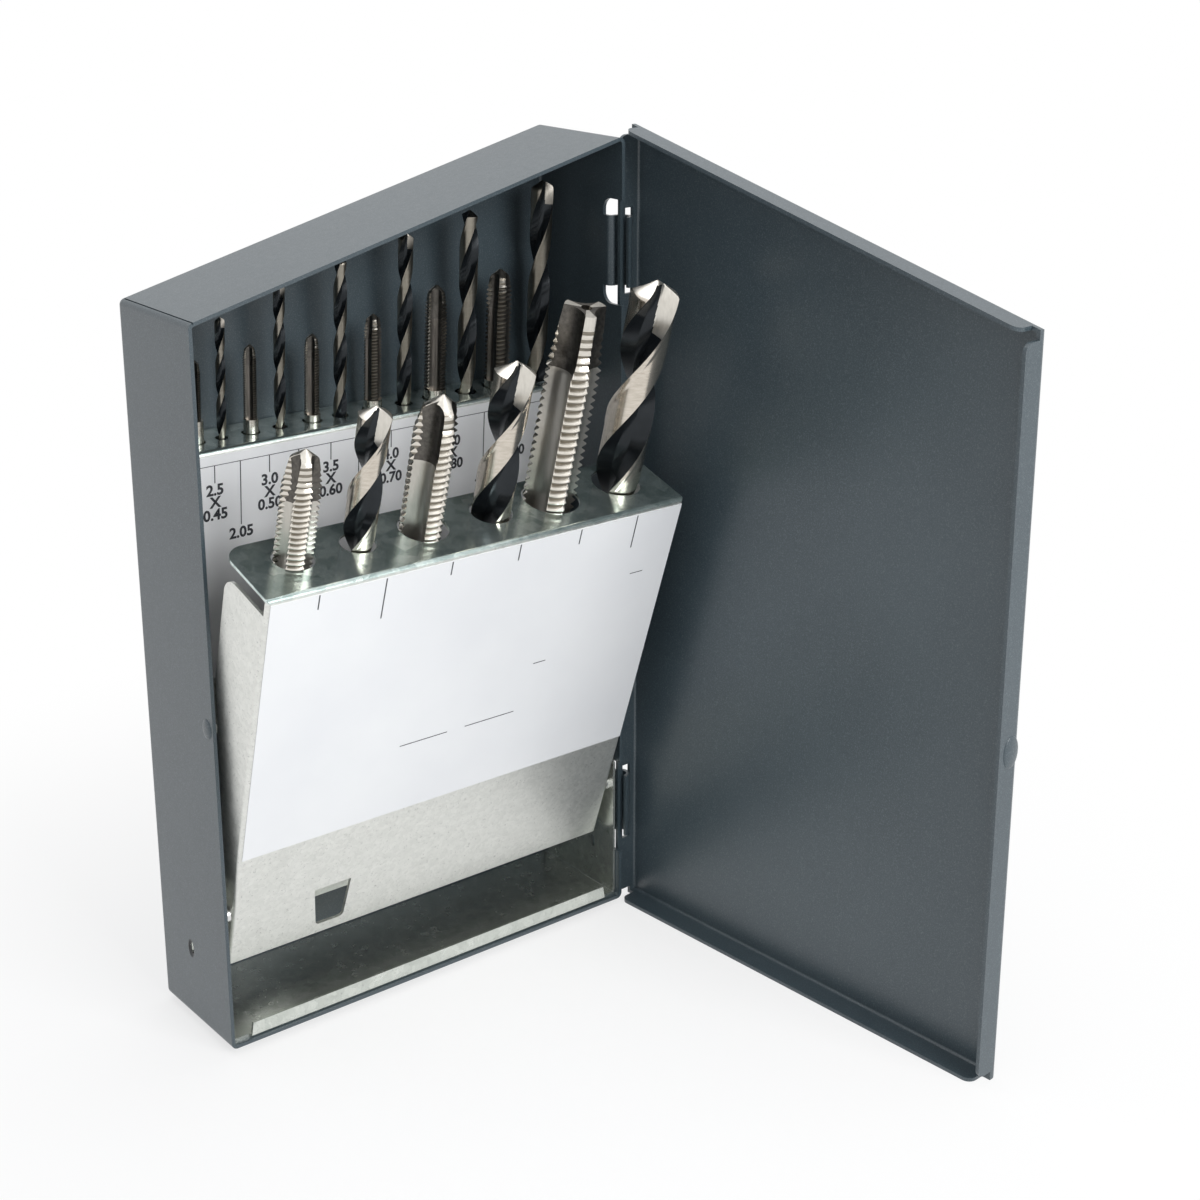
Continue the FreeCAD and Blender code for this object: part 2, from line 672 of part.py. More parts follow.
def build_rack(rack):
    """Face, shelf folded back from its top edge and two side flanges, in one sheet."""
    body = new_body(rack + "_rack")
    bottom = "(-%s_below)" % rack
    top = top_of(rack)
    half_top = "%s_half_top" % rack
    half_bottom = "%s_half_bottom" % rack
    front = "%s_face_ahead" % rack
    outline = [("-" + half_bottom, bottom), (half_bottom, bottom), (half_top, top),
               ("-" + half_top, top)]
    pad(body, polygon(body, "XZ_Plane", outline, front), "%s_shelf_depth" % rack, reverse=True)
    front_y = -value_of(front)
    top_z = value_of(top)
    round_edges(body, "rack_bend", lambda mid, way: near(mid.y, front_y)
                and (near(mid.z, top_z) or abs(way.z) > 0.9))
    hollow = [("-%s + rack_sheet" % half_bottom, bottom), ("-%s + rack_sheet" % half_bottom,
              bottom + " - 1"), (half_bottom + " - rack_sheet", bottom + " - 1"),
              (half_bottom + " - rack_sheet", bottom), (half_top + " - rack_sheet", top
              + " - rack_sheet"), ("-%s + rack_sheet" % half_top, top + " - rack_sheet")]
    pocket(body, polygon(body, "XZ_Plane", hollow, front + " - rack_sheet"))
    inner_y = value_of("rack_sheet - " + front)
    round_edges(body, "rack_bend - rack_sheet", lambda mid, way: near(mid.y, inner_y)
                and (near(mid.z, top_z - value_of("rack_sheet")) or abs(way.z) > 0.9))
    # the side flanges: narrow at the pivot, wide above, free of the shelf
    face = "(-%s)" % front
    foot = "%s + %s_flange_foot" % (face, rack)
    wide = "%s + %s_flange_depth" % (face, rack)
    behind = "%s + %s_shelf_depth + 2" % (face, rack)
    relief = "%s + rack_bend" % face
    flange_top = "%s + %s_flange_top" % (bottom, rack)
    side = [(foot, bottom + " - 2"), (foot, "%s + %s_flange_foot_height" % (bottom, rack)),
            (wide, "%s + %s_flange_wide_height" % (bottom, rack)), (wide, flange_top),
            (relief, flange_top), (relief, top + " - rack_sheet"),
            (behind, top + " - rack_sheet"), (behind, bottom + " - 2")]
    pocket(body, polygon(body, "YZ_Plane", side), both_ways=True)
    corner_y = value_of(wide)
    corner_z = value_of(flange_top)
    round_edges(body, "%s_flange_round" % rack, lambda mid, way: near(abs(way.x), 1)
                and near(mid.y, corner_y) and near(mid.z, corner_z))
    foot_y = value_of(foot)
    foot_z = value_of(bottom)
    round_edges(body, "%s_foot_round" % rack, lambda mid, way: near(abs(way.x), 1)
                and near(mid.y, foot_y) and near(mid.z, foot_z))
    shelf_y = value_of("%s + %s_shelf_depth" % (face, rack))
    round_edges(body, "%s_shelf_round" % rack, lambda mid, way: near(mid.y, shelf_y)
                and abs(way.z) > 0.9)
    # one hole in the shelf for each tool, and the pivot holes in the flanges
    row_y = "%s + %s_hole_row" % (face, rack)
    holes = [(place, row_y, "%s / 2 + hole_clear" % size) for key, size, place in tool_rows(rack)]
    pocket(body, circles(body, "XY_Plane", holes, top), "2 * rack_sheet")
    pocket(body, circles(body, "YZ_Plane", [("0", "0", "pin_radius + pin_running")]),
           both_ways=True)
    if rack == "front":
        add_window(body, bottom, face)
    place_in_rack(body, rack)
    return body


def add_window(body, bottom, face):
    """A lanced window whose tab is folded in to carry the drill stop."""
    tab_top = ("front_height - drill_stop_depth + drill_stop_slope * window_right"
               " - rack_sheet / cos(atan(drill_stop_slope)) - stop_lift")
    head = "%s + %s - rack_sheet" % (bottom, tab_top)
    window = [("-window_left", head), ("-window_foot_left", head + " - window_height"),
              ("-window_foot_right", head + " - window_height"), ("-window_right", head)]
    cut = polygon(body, "XZ_Plane", window, "front_face_ahead + 1")
    pocket(body, cut, "rack_sheet + 1.2")
    foot = value_of(head + " - window_height")
    round_edges(body, "window_round", lambda mid, way: near(abs(way.y), 1)
                and near(mid.z, foot) and mid.x < -value_of("window_right"))
    back = "%s + tab_length" % face
    tab = [("-window_left", "%s + rack_sheet / 2" % face), ("-window_right",
           "%s + rack_sheet / 2" % face), ("-window_foot_right", back),
           ("-window_foot_left", back)]
    pad(body, polygon(body, "XY_Plane", tab, head), "rack_sheet")


def build_label(rack):
    """A printed card on the rack's face."""
    body = new_body(rack + "_label")
    bottom = "%s_label_bottom" % rack
    top = "%s_height - label_top" % rack
    corners = []
    for height in (bottom, top):
        half = "%s - label_side" % rack_half(rack, height)
        pair = [("-(%s)" % half, "%s - %s_below" % (height, rack)),
                (half, "%s - %s_below" % (height, rack))]
        corners += pair if height == bottom else pair[::-1]
    card = polygon(body, "XZ_Plane", corners, "%s_face_ahead" % rack)
    pad(body, card, "label_thickness")
    place_in_rack(body, rack)
    return body


def stop_height(rack, stop, x):
    """Height of a stop plate's upper face at x, above the lower edge of the rack's face."""
    return "(%s_height - %s_depth - %s_slope * (%s))" % (rack, stop, stop, x)


def build_stop(label, rack, stop, holes):
    """A plate across the rack with a leg turned down along each flange."""
    body = new_body(label)
    heights = {}
    for side, sign in (("left", "-"), ("right", "")):
        near_height = stop_height(rack, stop, "%s%s_half_top" % (sign, rack))
        wall = "(%s - rack_sheet)" % rack_half(rack, near_height)
        heights[side] = stop_height(rack, stop, sign + wall)
    thick = "rack_sheet / cos(atan(%s_slope))" % stop
    outer = []
    inner = []
    for side, sign in (("left", "-"), ("right", "")):
        high = heights[side]
        low = "(%s - %s_leg)" % (high, stop)
        wall_high = "(%s - rack_sheet)" % rack_half(rack, high)
        wall_low = "(%s - rack_sheet)" % rack_half(rack, low)
        outer.append([(sign + wall_low, low), (sign + wall_high, high)])
        inner.append([("%s(%s - rack_sheet)" % (sign, wall_low), low),
                      ("%s(%s - rack_sheet)" % (sign, wall_high), "%s - %s" % (high, thick))])
    corners = outer[0] + outer[1][::-1] + inner[1] + inner[0][::-1]
    section = [(x, "%s - %s_below" % (z, rack)) for x, z in corners]
    start = "%s_face_ahead - rack_bend" % rack
    pad(body, polygon(body, "XZ_Plane", section, start), "%s_reach - rack_bend" % stop, reverse=True)
    if holes:
        rings = []
        for key, size, place in holes:
            rings.append((place, tool_y(rack, stop, place, "0"), "%s / 2 + stop_hole_clear" % size))
        top = "%s_height - %s_below - %s_depth + 1" % (rack, rack, stop)
        pocket(body, circles(body, "XY_Plane", rings, top), "rack_sheet + 2")
    place_in_rack(body, rack)
    return body


# ---------------------------------------------------------------- pivot pins

def build_pivot(rack, side):
    """A shouldered pin: tail in the pan's ear, journal in the flange, head inside."""
    label = "%s_pivot_%s" % (rack, side)
    body = new_body(label)
    flange_out = rack_half(rack, "%s_below" % rack)
    tail = EAR_OUT
    ear_face = "(%s - pan_sheet)" % EAR_OUT
    shoulder = "(%s + pin_side_play)" % flange_out
    neck = "(%s - rack_sheet - pin_side_play)" % flange_out
    head = "(%s - pin_head)" % neck
    profile = [("0", tail), ("pin_radius", tail), ("pin_radius", ear_face),
               ("pin_shoulder_radius", ear_face), ("pin_shoulder_radius", shoulder),
               ("pin_radius", shoulder), ("pin_radius", neck), ("pin_head_radius", neck),
               ("pin_head_radius", head), ("0", head)]
    turn(body, polygon(body, "XZ_Plane", profile))
    way = 90 if side == "right" else -90
    body.Placement = FreeCAD.Placement(FreeCAD.Vector(0, 0, 0),
                                       FreeCAD.Rotation(FreeCAD.Vector(0, 1, 0), way))
    bind(body, "Placement.Base.y", "%s_pivot_y" % rack)
    bind(body, "Placement.Base.z", "%s_pivot_z" % rack)
    return body


# ---------------------------------------------------------------- tools

def tool_z(rack, stop, place, size):
    """Height of a tool's foot in the rack's frame: its edge rests on the stop."""
    lift = "((abs(%s_slope) + sin(%s_tool_tilt)) * %s / 2 + stop_lift)" % (stop, rack, size)
    return "(%s - %s_below + %s)" % (stop_height(rack, stop, place), rack, lift)


def tool_y(rack, stop, place, size):
    """A tilted tool's foot lies ahead of the hole row by its depth below the shelf."""
    below = "(%s - %s)" % (top_of(rack), tool_z(rack, stop, place, size))
    return "(%s_hole_row - %s_face_ahead - %s * tan(%s_tool_tilt))" % (rack, rack, below, rack)


def place_tool(body, rack, stop, key, size):
    place = key + "_place"
    place_in_rack(body, rack, place, tool_y(rack, stop, place, size),
                  tool_z(rack, stop, place, size), "%s_tool_tilt" % rack)


def cut_square(body, key):
    """The drive square at the foot of a tap."""
    side = "(%s_shank * square_share / 2)" % key
    ring = circles(body, "XY_Plane", [("0", "0", "%s_shank" % key)])
    corners = [("-" + side, "-" + side), (side, "-" + side), (side, side), ("-" + side, side)]
    first = ring.GeometryCount
    spots = [FreeCAD.Vector(value_of(x), value_of(y), 0) for x, y in corners]
    for i in range(4):
        ring.addGeometry(Part.LineSegment(spots[i], spots[(i + 1) % 4]), False)
    for i in range(4):
        ring.addConstraint(Sketcher.Constraint("Coincident", first + i, 2, first + (i + 1) % 4, 1))
    for i in range(4):
        pin_down(ring, first + i, 1, corners[i][0], corners[i][1])
    pocket(body, ring, "%s_square" % key, reverse=True)


def build_tap(rack, name):
    """A hand tap standing on its shank, cutting end up."""
    key = "tap_" + name
    stop = "tap_stop" if rack == "front" else "rear_stop"
    body = new_body(key)
    radius = "(%s_size / 2)" % key
    shank = "(%s_shank / 2)" % key
    length = "%s_length" % key
    thread_low = "(%s - %s_thread)" % (length, key)
    thread_high = "(%s - %s_lead)" % (length, key)
    core = "(%s - thread_depth_share * %s_pitch)" % (radius, key)
    slope_low = "(%s - %s_pitch)" % (thread_low, key)
    tip = "(%s_tip / 2)" % key
    flank = "(min(%s; %s - %s_pitch))" % (core, core, key)
    profile = [("0", "0"), (shank + " - shank_bevel", "0"), (shank, "shank_bevel"),
               (shank, slope_low), (core, thread_low), (radius, thread_low + " + %s_pitch" % key),
               (radius, thread_high), (flank, "%s - %s_lead / 4" % (length, key)), (tip, length),
               ("0", length)]
    turn(body, polygon(body, "XZ_Plane", profile))
    # the thread: one ring groove a pitch
    groove_mid = "(%s + 1.5 * %s_pitch)" % (thread_low, key)
    vee = [(core, groove_mid), (radius + " + 0.02", groove_mid + " - 0.45 * %s_pitch" % key),
           (radius + " + 0.02", groove_mid + " + 0.45 * %s_pitch" % key)]
    before = body.Shape.Volume
    groove = turn(body, polygon(body, "XZ_Plane", vee), feature_type="Groove")
    if body.Shape.Volume >= before:
        raise RuntimeError("the thread groove of %s cut nothing" % key)
    pattern = body.newObject("PartDesign::LinearPattern", "threads")
    pattern.Originals = [groove]
    pattern.Direction = (groove.Profile[0], ["V_Axis"])
    pattern.Mode = "Spacing"
    bind(pattern, "Offset", "%s_pitch" % key)
    turns = "floor((%s_thread - %s_lead / 2) / %s_pitch) - 2" % (key, key, key)
    bind(pattern, "Occurrences", turns)
    body.Tip = pattern
    doc.recompute()
    # the flutes
    centre = "(%s * 1.06)" % radius
    flute_radius = "(%s * flute_wall)" % radius
    flute = circles(body, "XY_Plane", [(centre, "0", flute_radius)], length + " + 1")
    cut = pocket(body, flute, "%s_thread + 1 + flute_run_out" % key)
    flutes = body.newObject("PartDesign::PolarPattern", "flutes")
    flutes.Originals = [cut]
    flutes.Axis = (flute, ["N_Axis"])
    flutes.Angle = 360
    flutes.Occurrences = 3
    body.Tip = flutes
    doc.recompute()
    cut_square(body, key)
    place_tool(body, rack, stop, key, "%s_shank" % key)
    return body


def build_drill(rack, name):
    """A twist drill standing on its shank, point up."""
    key = "drill_" + name
    stop = "drill_stop" if rack == "front" else "rear_stop"
    body = new_body(key)
    radius = "(%s_size / 2)" % key
    length = "%s_length" % key
    point = "(%s / tan(drill_point_angle / 2))" % radius
    bevel = "(shank_bevel / 2)"
    profile = [("0", "0"), ("%s - %s" % (radius, bevel), "0"), (radius, bevel),
               (radius, "%s - %s" % (length, point)), ("0", length)]
    turn(body, polygon(body, "XZ_Plane", profile))
    # a round cutter laid in the flute follows the helix up and out past the point
    cutter = "(%s * drill_flute_radius_share)" % radius
    reach = "(%s * drill_web_share + %s)" % (radius, cutter)
    groove = circles(body, "XZ_Plane", [(reach, "%s - %s_flute" % (length, key), cutter)])
    before = body.Shape.Volume
    helix = body.newObject("PartDesign::SubtractiveHelix", "flute")
    helix.Profile = groove
    helix.ReferenceAxis = (groove, ["V_Axis"])
    helix.Mode = 0
    bind(helix, "Pitch", "pi * %s_size / tan(drill_helix_angle)" % key)
    bind(helix, "Height", "%s_flute + %s_size" % (key, key))
    doc.recompute()
    if body.Shape.Volume >= before:
        raise RuntimeError("the flute of %s cut nothing" % key)
    pair = body.newObject("PartDesign::PolarPattern", "flutes")
    pair.Originals = [helix]
    pair.Axis = (groove, ["V_Axis"])
    pair.Angle = 360
    pair.Occurrences = 2
    body.Tip = pair
    doc.recompute()
    place_tool(body, rack, stop, key, key + "_size")
    return body


# ---------------------------------------------------------------- whole object

parts = [build_case_body(), build_case_lid(), build_base_pan()]
for rack_name in ("front", "rear"):
    parts.append(build_rack(rack_name))
    parts.append(build_label(rack_name))
    for side_name in ("left", "right"):
        parts.append(build_pivot(rack_name, side_name))
    for tap_row in TAPS[rack_name]:
        parts.append(build_tap(rack_name, tap_row[0]))
    for drill_row in DRILLS[rack_name]:
        parts.append(build_drill(rack_name, drill_row[0]))
front_drills = [row for row in tool_rows("front") if row[0].startswith("drill")]
parts.append(build_stop("front_tap_stop", "front", "tap_stop", front_drills))
parts.append(build_stop("front_drill_stop", "front", "drill_stop", []))
parts.append(build_stop("rear_tool_stop", "rear", "rear_stop", []))

doc.recompute()
for item in doc.Objects:
    if "Invalid" in item.State or "Error" in item.State:
        raise RuntimeError("%s could not be built: %s" % (item.Label, item.State))
for body in parts:
    shape = body.Shape
    if shape.isNull() or not shape.isValid() or len(shape.Solids) != 1:
        raise RuntimeError("%s is not one sound solid" % body.Label)

os.makedirs("parts", exist_ok=True)
for body in parts:
    body.Shape.exportStep(os.path.join("parts", body.Label + ".step"))
    box = body.Shape.BoundBox
    print("%-18s %9.1f mm3  x %7.2f..%7.2f  y %7.2f..%7.2f  z %7.2f..%7.2f" % (
        body.Label, body.Shape.Volume, box.XMin, box.XMax, box.YMin, box.YMax, box.ZMin, box.ZMax))
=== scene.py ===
import bpy
import math
from collections import namedtuple
from mathutils import Matrix, Vector


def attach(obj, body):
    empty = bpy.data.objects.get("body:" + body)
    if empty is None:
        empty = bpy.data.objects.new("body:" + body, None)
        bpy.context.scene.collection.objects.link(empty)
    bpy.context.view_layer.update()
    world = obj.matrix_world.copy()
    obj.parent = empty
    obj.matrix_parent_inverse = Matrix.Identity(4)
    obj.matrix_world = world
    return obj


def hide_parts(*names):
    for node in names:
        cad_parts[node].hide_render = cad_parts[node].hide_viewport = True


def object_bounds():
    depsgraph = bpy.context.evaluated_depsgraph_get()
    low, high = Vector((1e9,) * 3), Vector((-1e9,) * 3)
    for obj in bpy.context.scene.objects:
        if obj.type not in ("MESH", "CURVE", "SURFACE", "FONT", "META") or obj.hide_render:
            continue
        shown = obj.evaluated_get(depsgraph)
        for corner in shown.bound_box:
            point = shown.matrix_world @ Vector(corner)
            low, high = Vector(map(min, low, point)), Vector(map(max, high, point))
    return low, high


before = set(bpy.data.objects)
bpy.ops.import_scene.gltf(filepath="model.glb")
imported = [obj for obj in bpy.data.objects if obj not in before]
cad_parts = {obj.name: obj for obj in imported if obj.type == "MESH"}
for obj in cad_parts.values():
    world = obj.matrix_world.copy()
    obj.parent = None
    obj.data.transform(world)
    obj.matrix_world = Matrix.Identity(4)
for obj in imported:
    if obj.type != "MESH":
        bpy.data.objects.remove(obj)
CAD_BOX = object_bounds()

# Sizes are millimetres here and become metres where a mesh is placed.
MM = 0.001

# ------------------------------------------------------------------ sizes of racks and tools

# Each rack turns about its pivot pin, given as depth and height in the case. A rack's own
# frame has its origin there, with z up along its face and y to the back. lean: of the rack,
# in degrees. tool_tilt: how much less its tools lean. face_ahead: from the pivot to the face.
# below, height: the part below the pivot, and the whole. hole_row: from the face to the holes.
RACKS = {
    "front": {"pivot": (4.1, 29.56), "lean": 17.6, "tool_tilt": 1.5, "face_ahead": 2.1,
              "below": 13.0, "height": 95.5, "hole_row": 11.1},
    "rear": {"pivot": (26.35, 17.0), "lean": 4.15, "tool_tilt": 0.0, "face_ahead": 2.1,
             "below": 3.0, "height": 112.8, "hole_row": 6.2},
}

# Depth of each stop plate below the shelf, and its fall for each millimetre to the right.
STOPS = {"front_tap": (43.0, 0.0), "front_drill": (82.0, 0.0604),
         "rear_tap": (34.0, 0.16), "rear_drill": (34.0, 0.16)}
# Gap between a stop plate and a tool's foot.
STOP_LIFT = 0.03

# thread, taper: length from the tip. tip: width of its flat. square: height of the drive
# square. place: across the rack. turn: about the tool's axis, in degrees. flutes_out: how far
# out the flutes are centred, as a share of the radius.
Tap = namedtuple("Tap", "rack size pitch length thread taper tip shank square place turn flutes_out")

TAPS = {
    "tap_m8": Tap("front", 8.0, 1.25, 67.5, 28.6, 8.0, 0.4, 8.0, 9.0, -40.0, -53.0, 0.98),
    "tap_m10": Tap("front", 10.0, 1.5, 73.8, 38.0, 8.0, 0.4, 9.6, 11.0, -9.6, -38.0, 1.2),
    "tap_m12": Tap("front", 12.0, 1.75, 88.0, 50.0, 14.0, 9.2, 9.6, 12.0, 23.0, -55.0, 1.3),
    "tap_m2_5": Tap("rear", 2.5, 0.45, 44.6, 12.7, 2.6, 0.3, 3.2, 5.0, -41.6, 0.0, 1.1),
    "tap_m3": Tap("rear", 3.0, 0.5, 48.1, 15.9, 2.8, 0.4, 3.2, 5.0, -28.9, -10.0, 1.1),
    "tap_m3_5": Tap("rear", 3.5, 0.6, 50.6, 17.5, 3.2, 0.4, 3.5, 5.5, -14.1, -15.0, 1.1),
    "tap_m4": Tap("rear", 4.0, 0.7, 55.2, 19.0, 3.6, 0.5, 4.0, 6.0, 1.05, -48.0, 1.1),
    "tap_m5": Tap("rear", 5.0, 0.8, 62.0, 23.5, 4.4, 0.6, 5.0, 7.0, 17.3, -8.0, 1.1),
    "tap_m6": Tap("rear", 6.0, 1.0, 66.1, 25.4, 5.0, 0.7, 6.0, 8.0, 34.4, -50.0, 1.1),
}
TAP_COLUMNS = {"front": 121, "rear": 61}
TAP_CREASE = 30
# Share of the sheet's columns that the flutes take. The lands take the rest.
FLUTE_COLUMNS = 0.6
# Thread: its depth as a share of the pitch, and its rows. CREST_WIDTH and ROOT_START are
# shares of a turn.
THREAD_DEPTH = 0.54
ROWS_A_TURN = 4
SPARE_TURNS = 5
CREST_WIDTH = 0.12
ROOT_START = 0.54
# Shares of the radius: where the taper starts, the core between the flutes, how much deeper
# the gash is, and how thick the thread still is where its roots get painted shade.
TAPER_START = 0.62
TAP_CORE = 0.46
GASH_DEPTH = 0.12
ROOT_SHADE = 0.75
# How far the gash runs down from a tip with a centre hole, and from a pointed one, as shares
# of the size.
BORED_GASH = 1.18
POINTED_GASH = 1.47
GASH_RAMP = 3.0
# Share of the gash's depth from which its wall gets the gash's painted shade.
GASH_EDGE = 0.04
# The tip: the cone's widening for each millimetre down, how far down its lands look ground, as
# a share of the radius, and the centre hole's radius and depth.
POINT_SLOPE = 1.2
GROUND_TIP = 0.5
CENTRE_HOLE = 1.15
THINNEST = 0.02

# Shank of a tap. SQUARE_FLAT and FOOT_SCALE are shares of its radius.
SHANK_SIDES = 48
SQUARE_FLAT = 0.75
SQUARE_SHOULDER = 0.4
FOOT_SCALE = 0.94
FOOT_CHAMFER = 0.3

# place: across the rack. land_drop: how far below the tip a land faces the front.
Drill = namedtuple("Drill", "rack size length fluted place land_drop")

DRILLS = {
    "drill_6_8": Drill("front", 6.8, 111.5, 73.0, -25.2, 13.8),
    "drill_8_5": Drill("front", 8.5, 117.7, 84.0, 7.4, 18.1),
    "drill_10_3": Drill("front", 10.3, 133.0, 98.0, 41.0, 22.1),
    "drill_2_05": Drill("rear", 2.05, 53.9, 29.0, -35.7, 7.9),
    "drill_2_5": Drill("rear", 2.5, 61.3, 35.0, -21.95, 8.3),
    "drill_2_9": Drill("rear", 2.9, 67.3, 40.0, -7.2, 3.7),
    "drill_3_3": Drill("rear", 3.3, 73.3, 42.0, 9.1, 10.8),
    "drill_4_2": Drill("rear", 4.2, 79.2, 48.0, 25.7, 3.2),
    "drill_5_0": Drill("rear", 5.0, 87.0, 54.0, 45.3, 18.2),
}
DRILL_SHEET = {"front": (97, 320), "rear": (65, 200)}
DRILL_CREASE = 38
POINT_ANGLE = math.radians(118)
HELIX_ANGLE = {"front": math.radians(29), "rear": math.radians(20)}
# Shares of half a turn: a land, and the bright rim beside it at the tip.
LAND_SHARE = 0.42
RIM_SHARE = 0.12
# Share of a land: its raised margin.
MARGIN_SHARE = 0.16
# Shares of the radius.
RIM_LENGTH = 2.3
RUN_OUT = 2.2
DRILL_WEB = 0.18
BODY_RADIUS = 0.972
# Share of the sheet's rows that closes each end of a drill.
END_ROWS = 0.01
# The turn, in degrees, at which a land faces the front of the case.
FRONT_SIDE = -122.0


def tool_matrix(rack_name, stop_name, place, size, turn):
    """Where a tool stands: its foot on the stop plate, its axis through the shelf hole."""
    rack = RACKS[rack_name]
    depth, slope = STOPS[stop_name]
    tilt = math.radians(rack["tool_tilt"])
    lean = math.radians(rack["lean"])
    top = rack["height"] - rack["below"]
    lift = (abs(slope) + math.sin(tilt)) * size / 2 + STOP_LIFT
    z = top - depth - slope * place + lift
    y = rack["hole_row"] - rack["face_ahead"] - (top - z) * math.tan(tilt)
    foot = rack_point(rack_name, place, y, z)
    stand = Matrix.Rotation(lean - tilt, 4, "X") @ Matrix.Rotation(math.radians(turn), 4, "Z")
    return Matrix.Translation(foot) @ stand @ Matrix.Scale(MM, 4)


def rack_point(rack_name, x, y, z):
    rack = RACKS[rack_name]
    lean = math.radians(rack["lean"])
    world_y = rack["pivot"][0] + y * math.cos(lean) - z * math.sin(lean)
    world_z = rack["pivot"][1] + y * math.sin(lean) + z * math.cos(lean)
    return Vector((x, world_y, world_z)) * MM


# ------------------------------------------------------------------ materials

# Widths of the zinc crystals, in metres.
SHEET_CRYSTAL = 0.0016
FACE_CRYSTAL = 0.0008
SHELF_CRYSTAL = 0.0024
# A rack's shelf: the heights from its top, in metres, between which the face's look turns
# into the shelf's, and its roughness.
SHELF_START = (-0.0011, -0.0003)
SHELF_ROUGHNESS = 0.2


def new_material(name, colour, metallic, roughness):
    material = bpy.data.materials.new(name)
    material.use_nodes = True
    shader = material.node_tree.nodes["Principled BSDF"]
    shader.inputs["Base Color"].default_value = (*colour, 1)
    shader.inputs["Metallic"].default_value = metallic
    shader.inputs["Roughness"].default_value = roughness
    return material, material.node_tree, shader


def object_place(tree):
    return tree.nodes.new("ShaderNodeTexCoord").outputs["Object"]


def stretched(tree, place, scale):
    mapping = tree.nodes.new("ShaderNodeMapping")
    mapping.inputs["Scale"].default_value = scale
    tree.links.new(place, mapping.inputs["Vector"])
    return mapping.outputs["Vector"]


def noise(tree, place, scale, detail=3.0, roughness=0.55):
    node = tree.nodes.new("ShaderNodeTexNoise")
    node.inputs["Scale"].default_value = scale
    node.inputs["Detail"].default_value = detail
    node.inputs["Roughness"].default_value = roughness
    tree.links.new(place, node.inputs["Vector"])
    return node.outputs["Fac"]


def cells(tree, place, size):
    """A random colour for each crystal of a size in metres."""
    node = tree.nodes.new("ShaderNodeTexVoronoi")
    node.inputs["Scale"].default_value = 1.0 / size
    tree.links.new(place, node.inputs["Vector"])
    return node.outputs["Color"]


def ramp(tree, factor, stops):
    node = tree.nodes.new("ShaderNodeValToRGB")
    ramp_stops = node.color_ramp.elements
    while len(ramp_stops) < len(stops):
        ramp_stops.new(0.5)
    for stop, (position, colour) in zip(ramp_stops, stops):
        stop.position = position
        stop.color = (*colour, 1)
    tree.links.new(factor, node.inputs["Fac"])
    return node.outputs["Color"]


def grey(value):
    return (value, value, value)


def spread(tree, factor, low, high):
    node = tree.nodes.new("ShaderNodeMapRange")
    node.inputs["To Min"].default_value = low
    node.inputs["To Max"].default_value = high
    tree.links.new(factor, node.inputs["Value"])
    return node.outputs["Result"]


def mix_sockets(node):
    """The colour sockets of a Mix node that share their names with other types."""
    first, second = [socket for socket in node.inputs if socket.type == "RGBA"]
    result = [socket for socket in node.outputs if socket.type == "RGBA"][0]
    return node.inputs[0], first, second, result


def blended(tree, factor, first, second):
    node = tree.nodes.new("ShaderNodeMix")
    node.data_type = "RGBA"
    factor_in, first_in, second_in, result = mix_sockets(node)
    for socket, value in ((factor_in, factor), (first_in, first), (second_in, second)):
        if isinstance(value, bpy.types.NodeSocket):
            tree.links.new(value, socket)
        elif isinstance(value, tuple):
            socket.default_value = (*value, 1)
        else:
            socket.default_value = value
    return result


def bump(tree, shader, height, strength, distance):
    node = tree.nodes.new("ShaderNodeBump")
    node.inputs["Strength"].default_value = strength
    node.inputs["Distance"].default_value = distance
    tree.links.new(height, node.inputs["Height"])
    tree.links.new(node.outputs["Normal"], shader.inputs["Normal"])


def number(tree, operation, *values):
    """One step of reckoning in a material."""
    node = tree.nodes.new("ShaderNodeMath")
    node.operation = operation
    for socket, value in zip(node.inputs, values):
        if isinstance(value, bpy.types.NodeSocket):
            tree.links.new(value, socket)
        else:
            socket.default_value = value
    return node.outputs["Value"]


def along(tree, place, direction):
    """How far a point lies along a direction, in metres."""
    node = tree.nodes.new("ShaderNodeVectorMath")
    node.operation = "DOT_PRODUCT"
    node.inputs[1].default_value = direction
    tree.links.new(place, node.inputs[0])
    return node.outputs["Value"]


def faded(tree, value, start, end):
    """0 before start, 1 after end, smooth between."""
    node = tree.nodes.new("ShaderNodeMapRange")
    node.interpolation_type = "SMOOTHSTEP"
    node.inputs["From Min"].default_value = start
    node.inputs["From Max"].default_value = end
    tree.links.new(value, node.inputs["Value"])
    return node.outputs["Result"]


def near_point(tree, place, centre, radii):
    """1 inside an oval region, 0 outside it, with a soft edge."""
    shift = tree.nodes.new("ShaderNodeMapping")
    shift.vector_type = "TEXTURE"
    shift.inputs["Location"].default_value = centre
    shift.inputs["Scale"].default_value = radii
    tree.links.new(place, shift.inputs["Vector"])
    length = tree.nodes.new("ShaderNodeVectorMath")
    length.operation = "LENGTH"
    tree.links.new(shift.outputs["Vector"], length.inputs[0])
    return faded(tree, length.outputs["Value"], 1.25, 0.75)


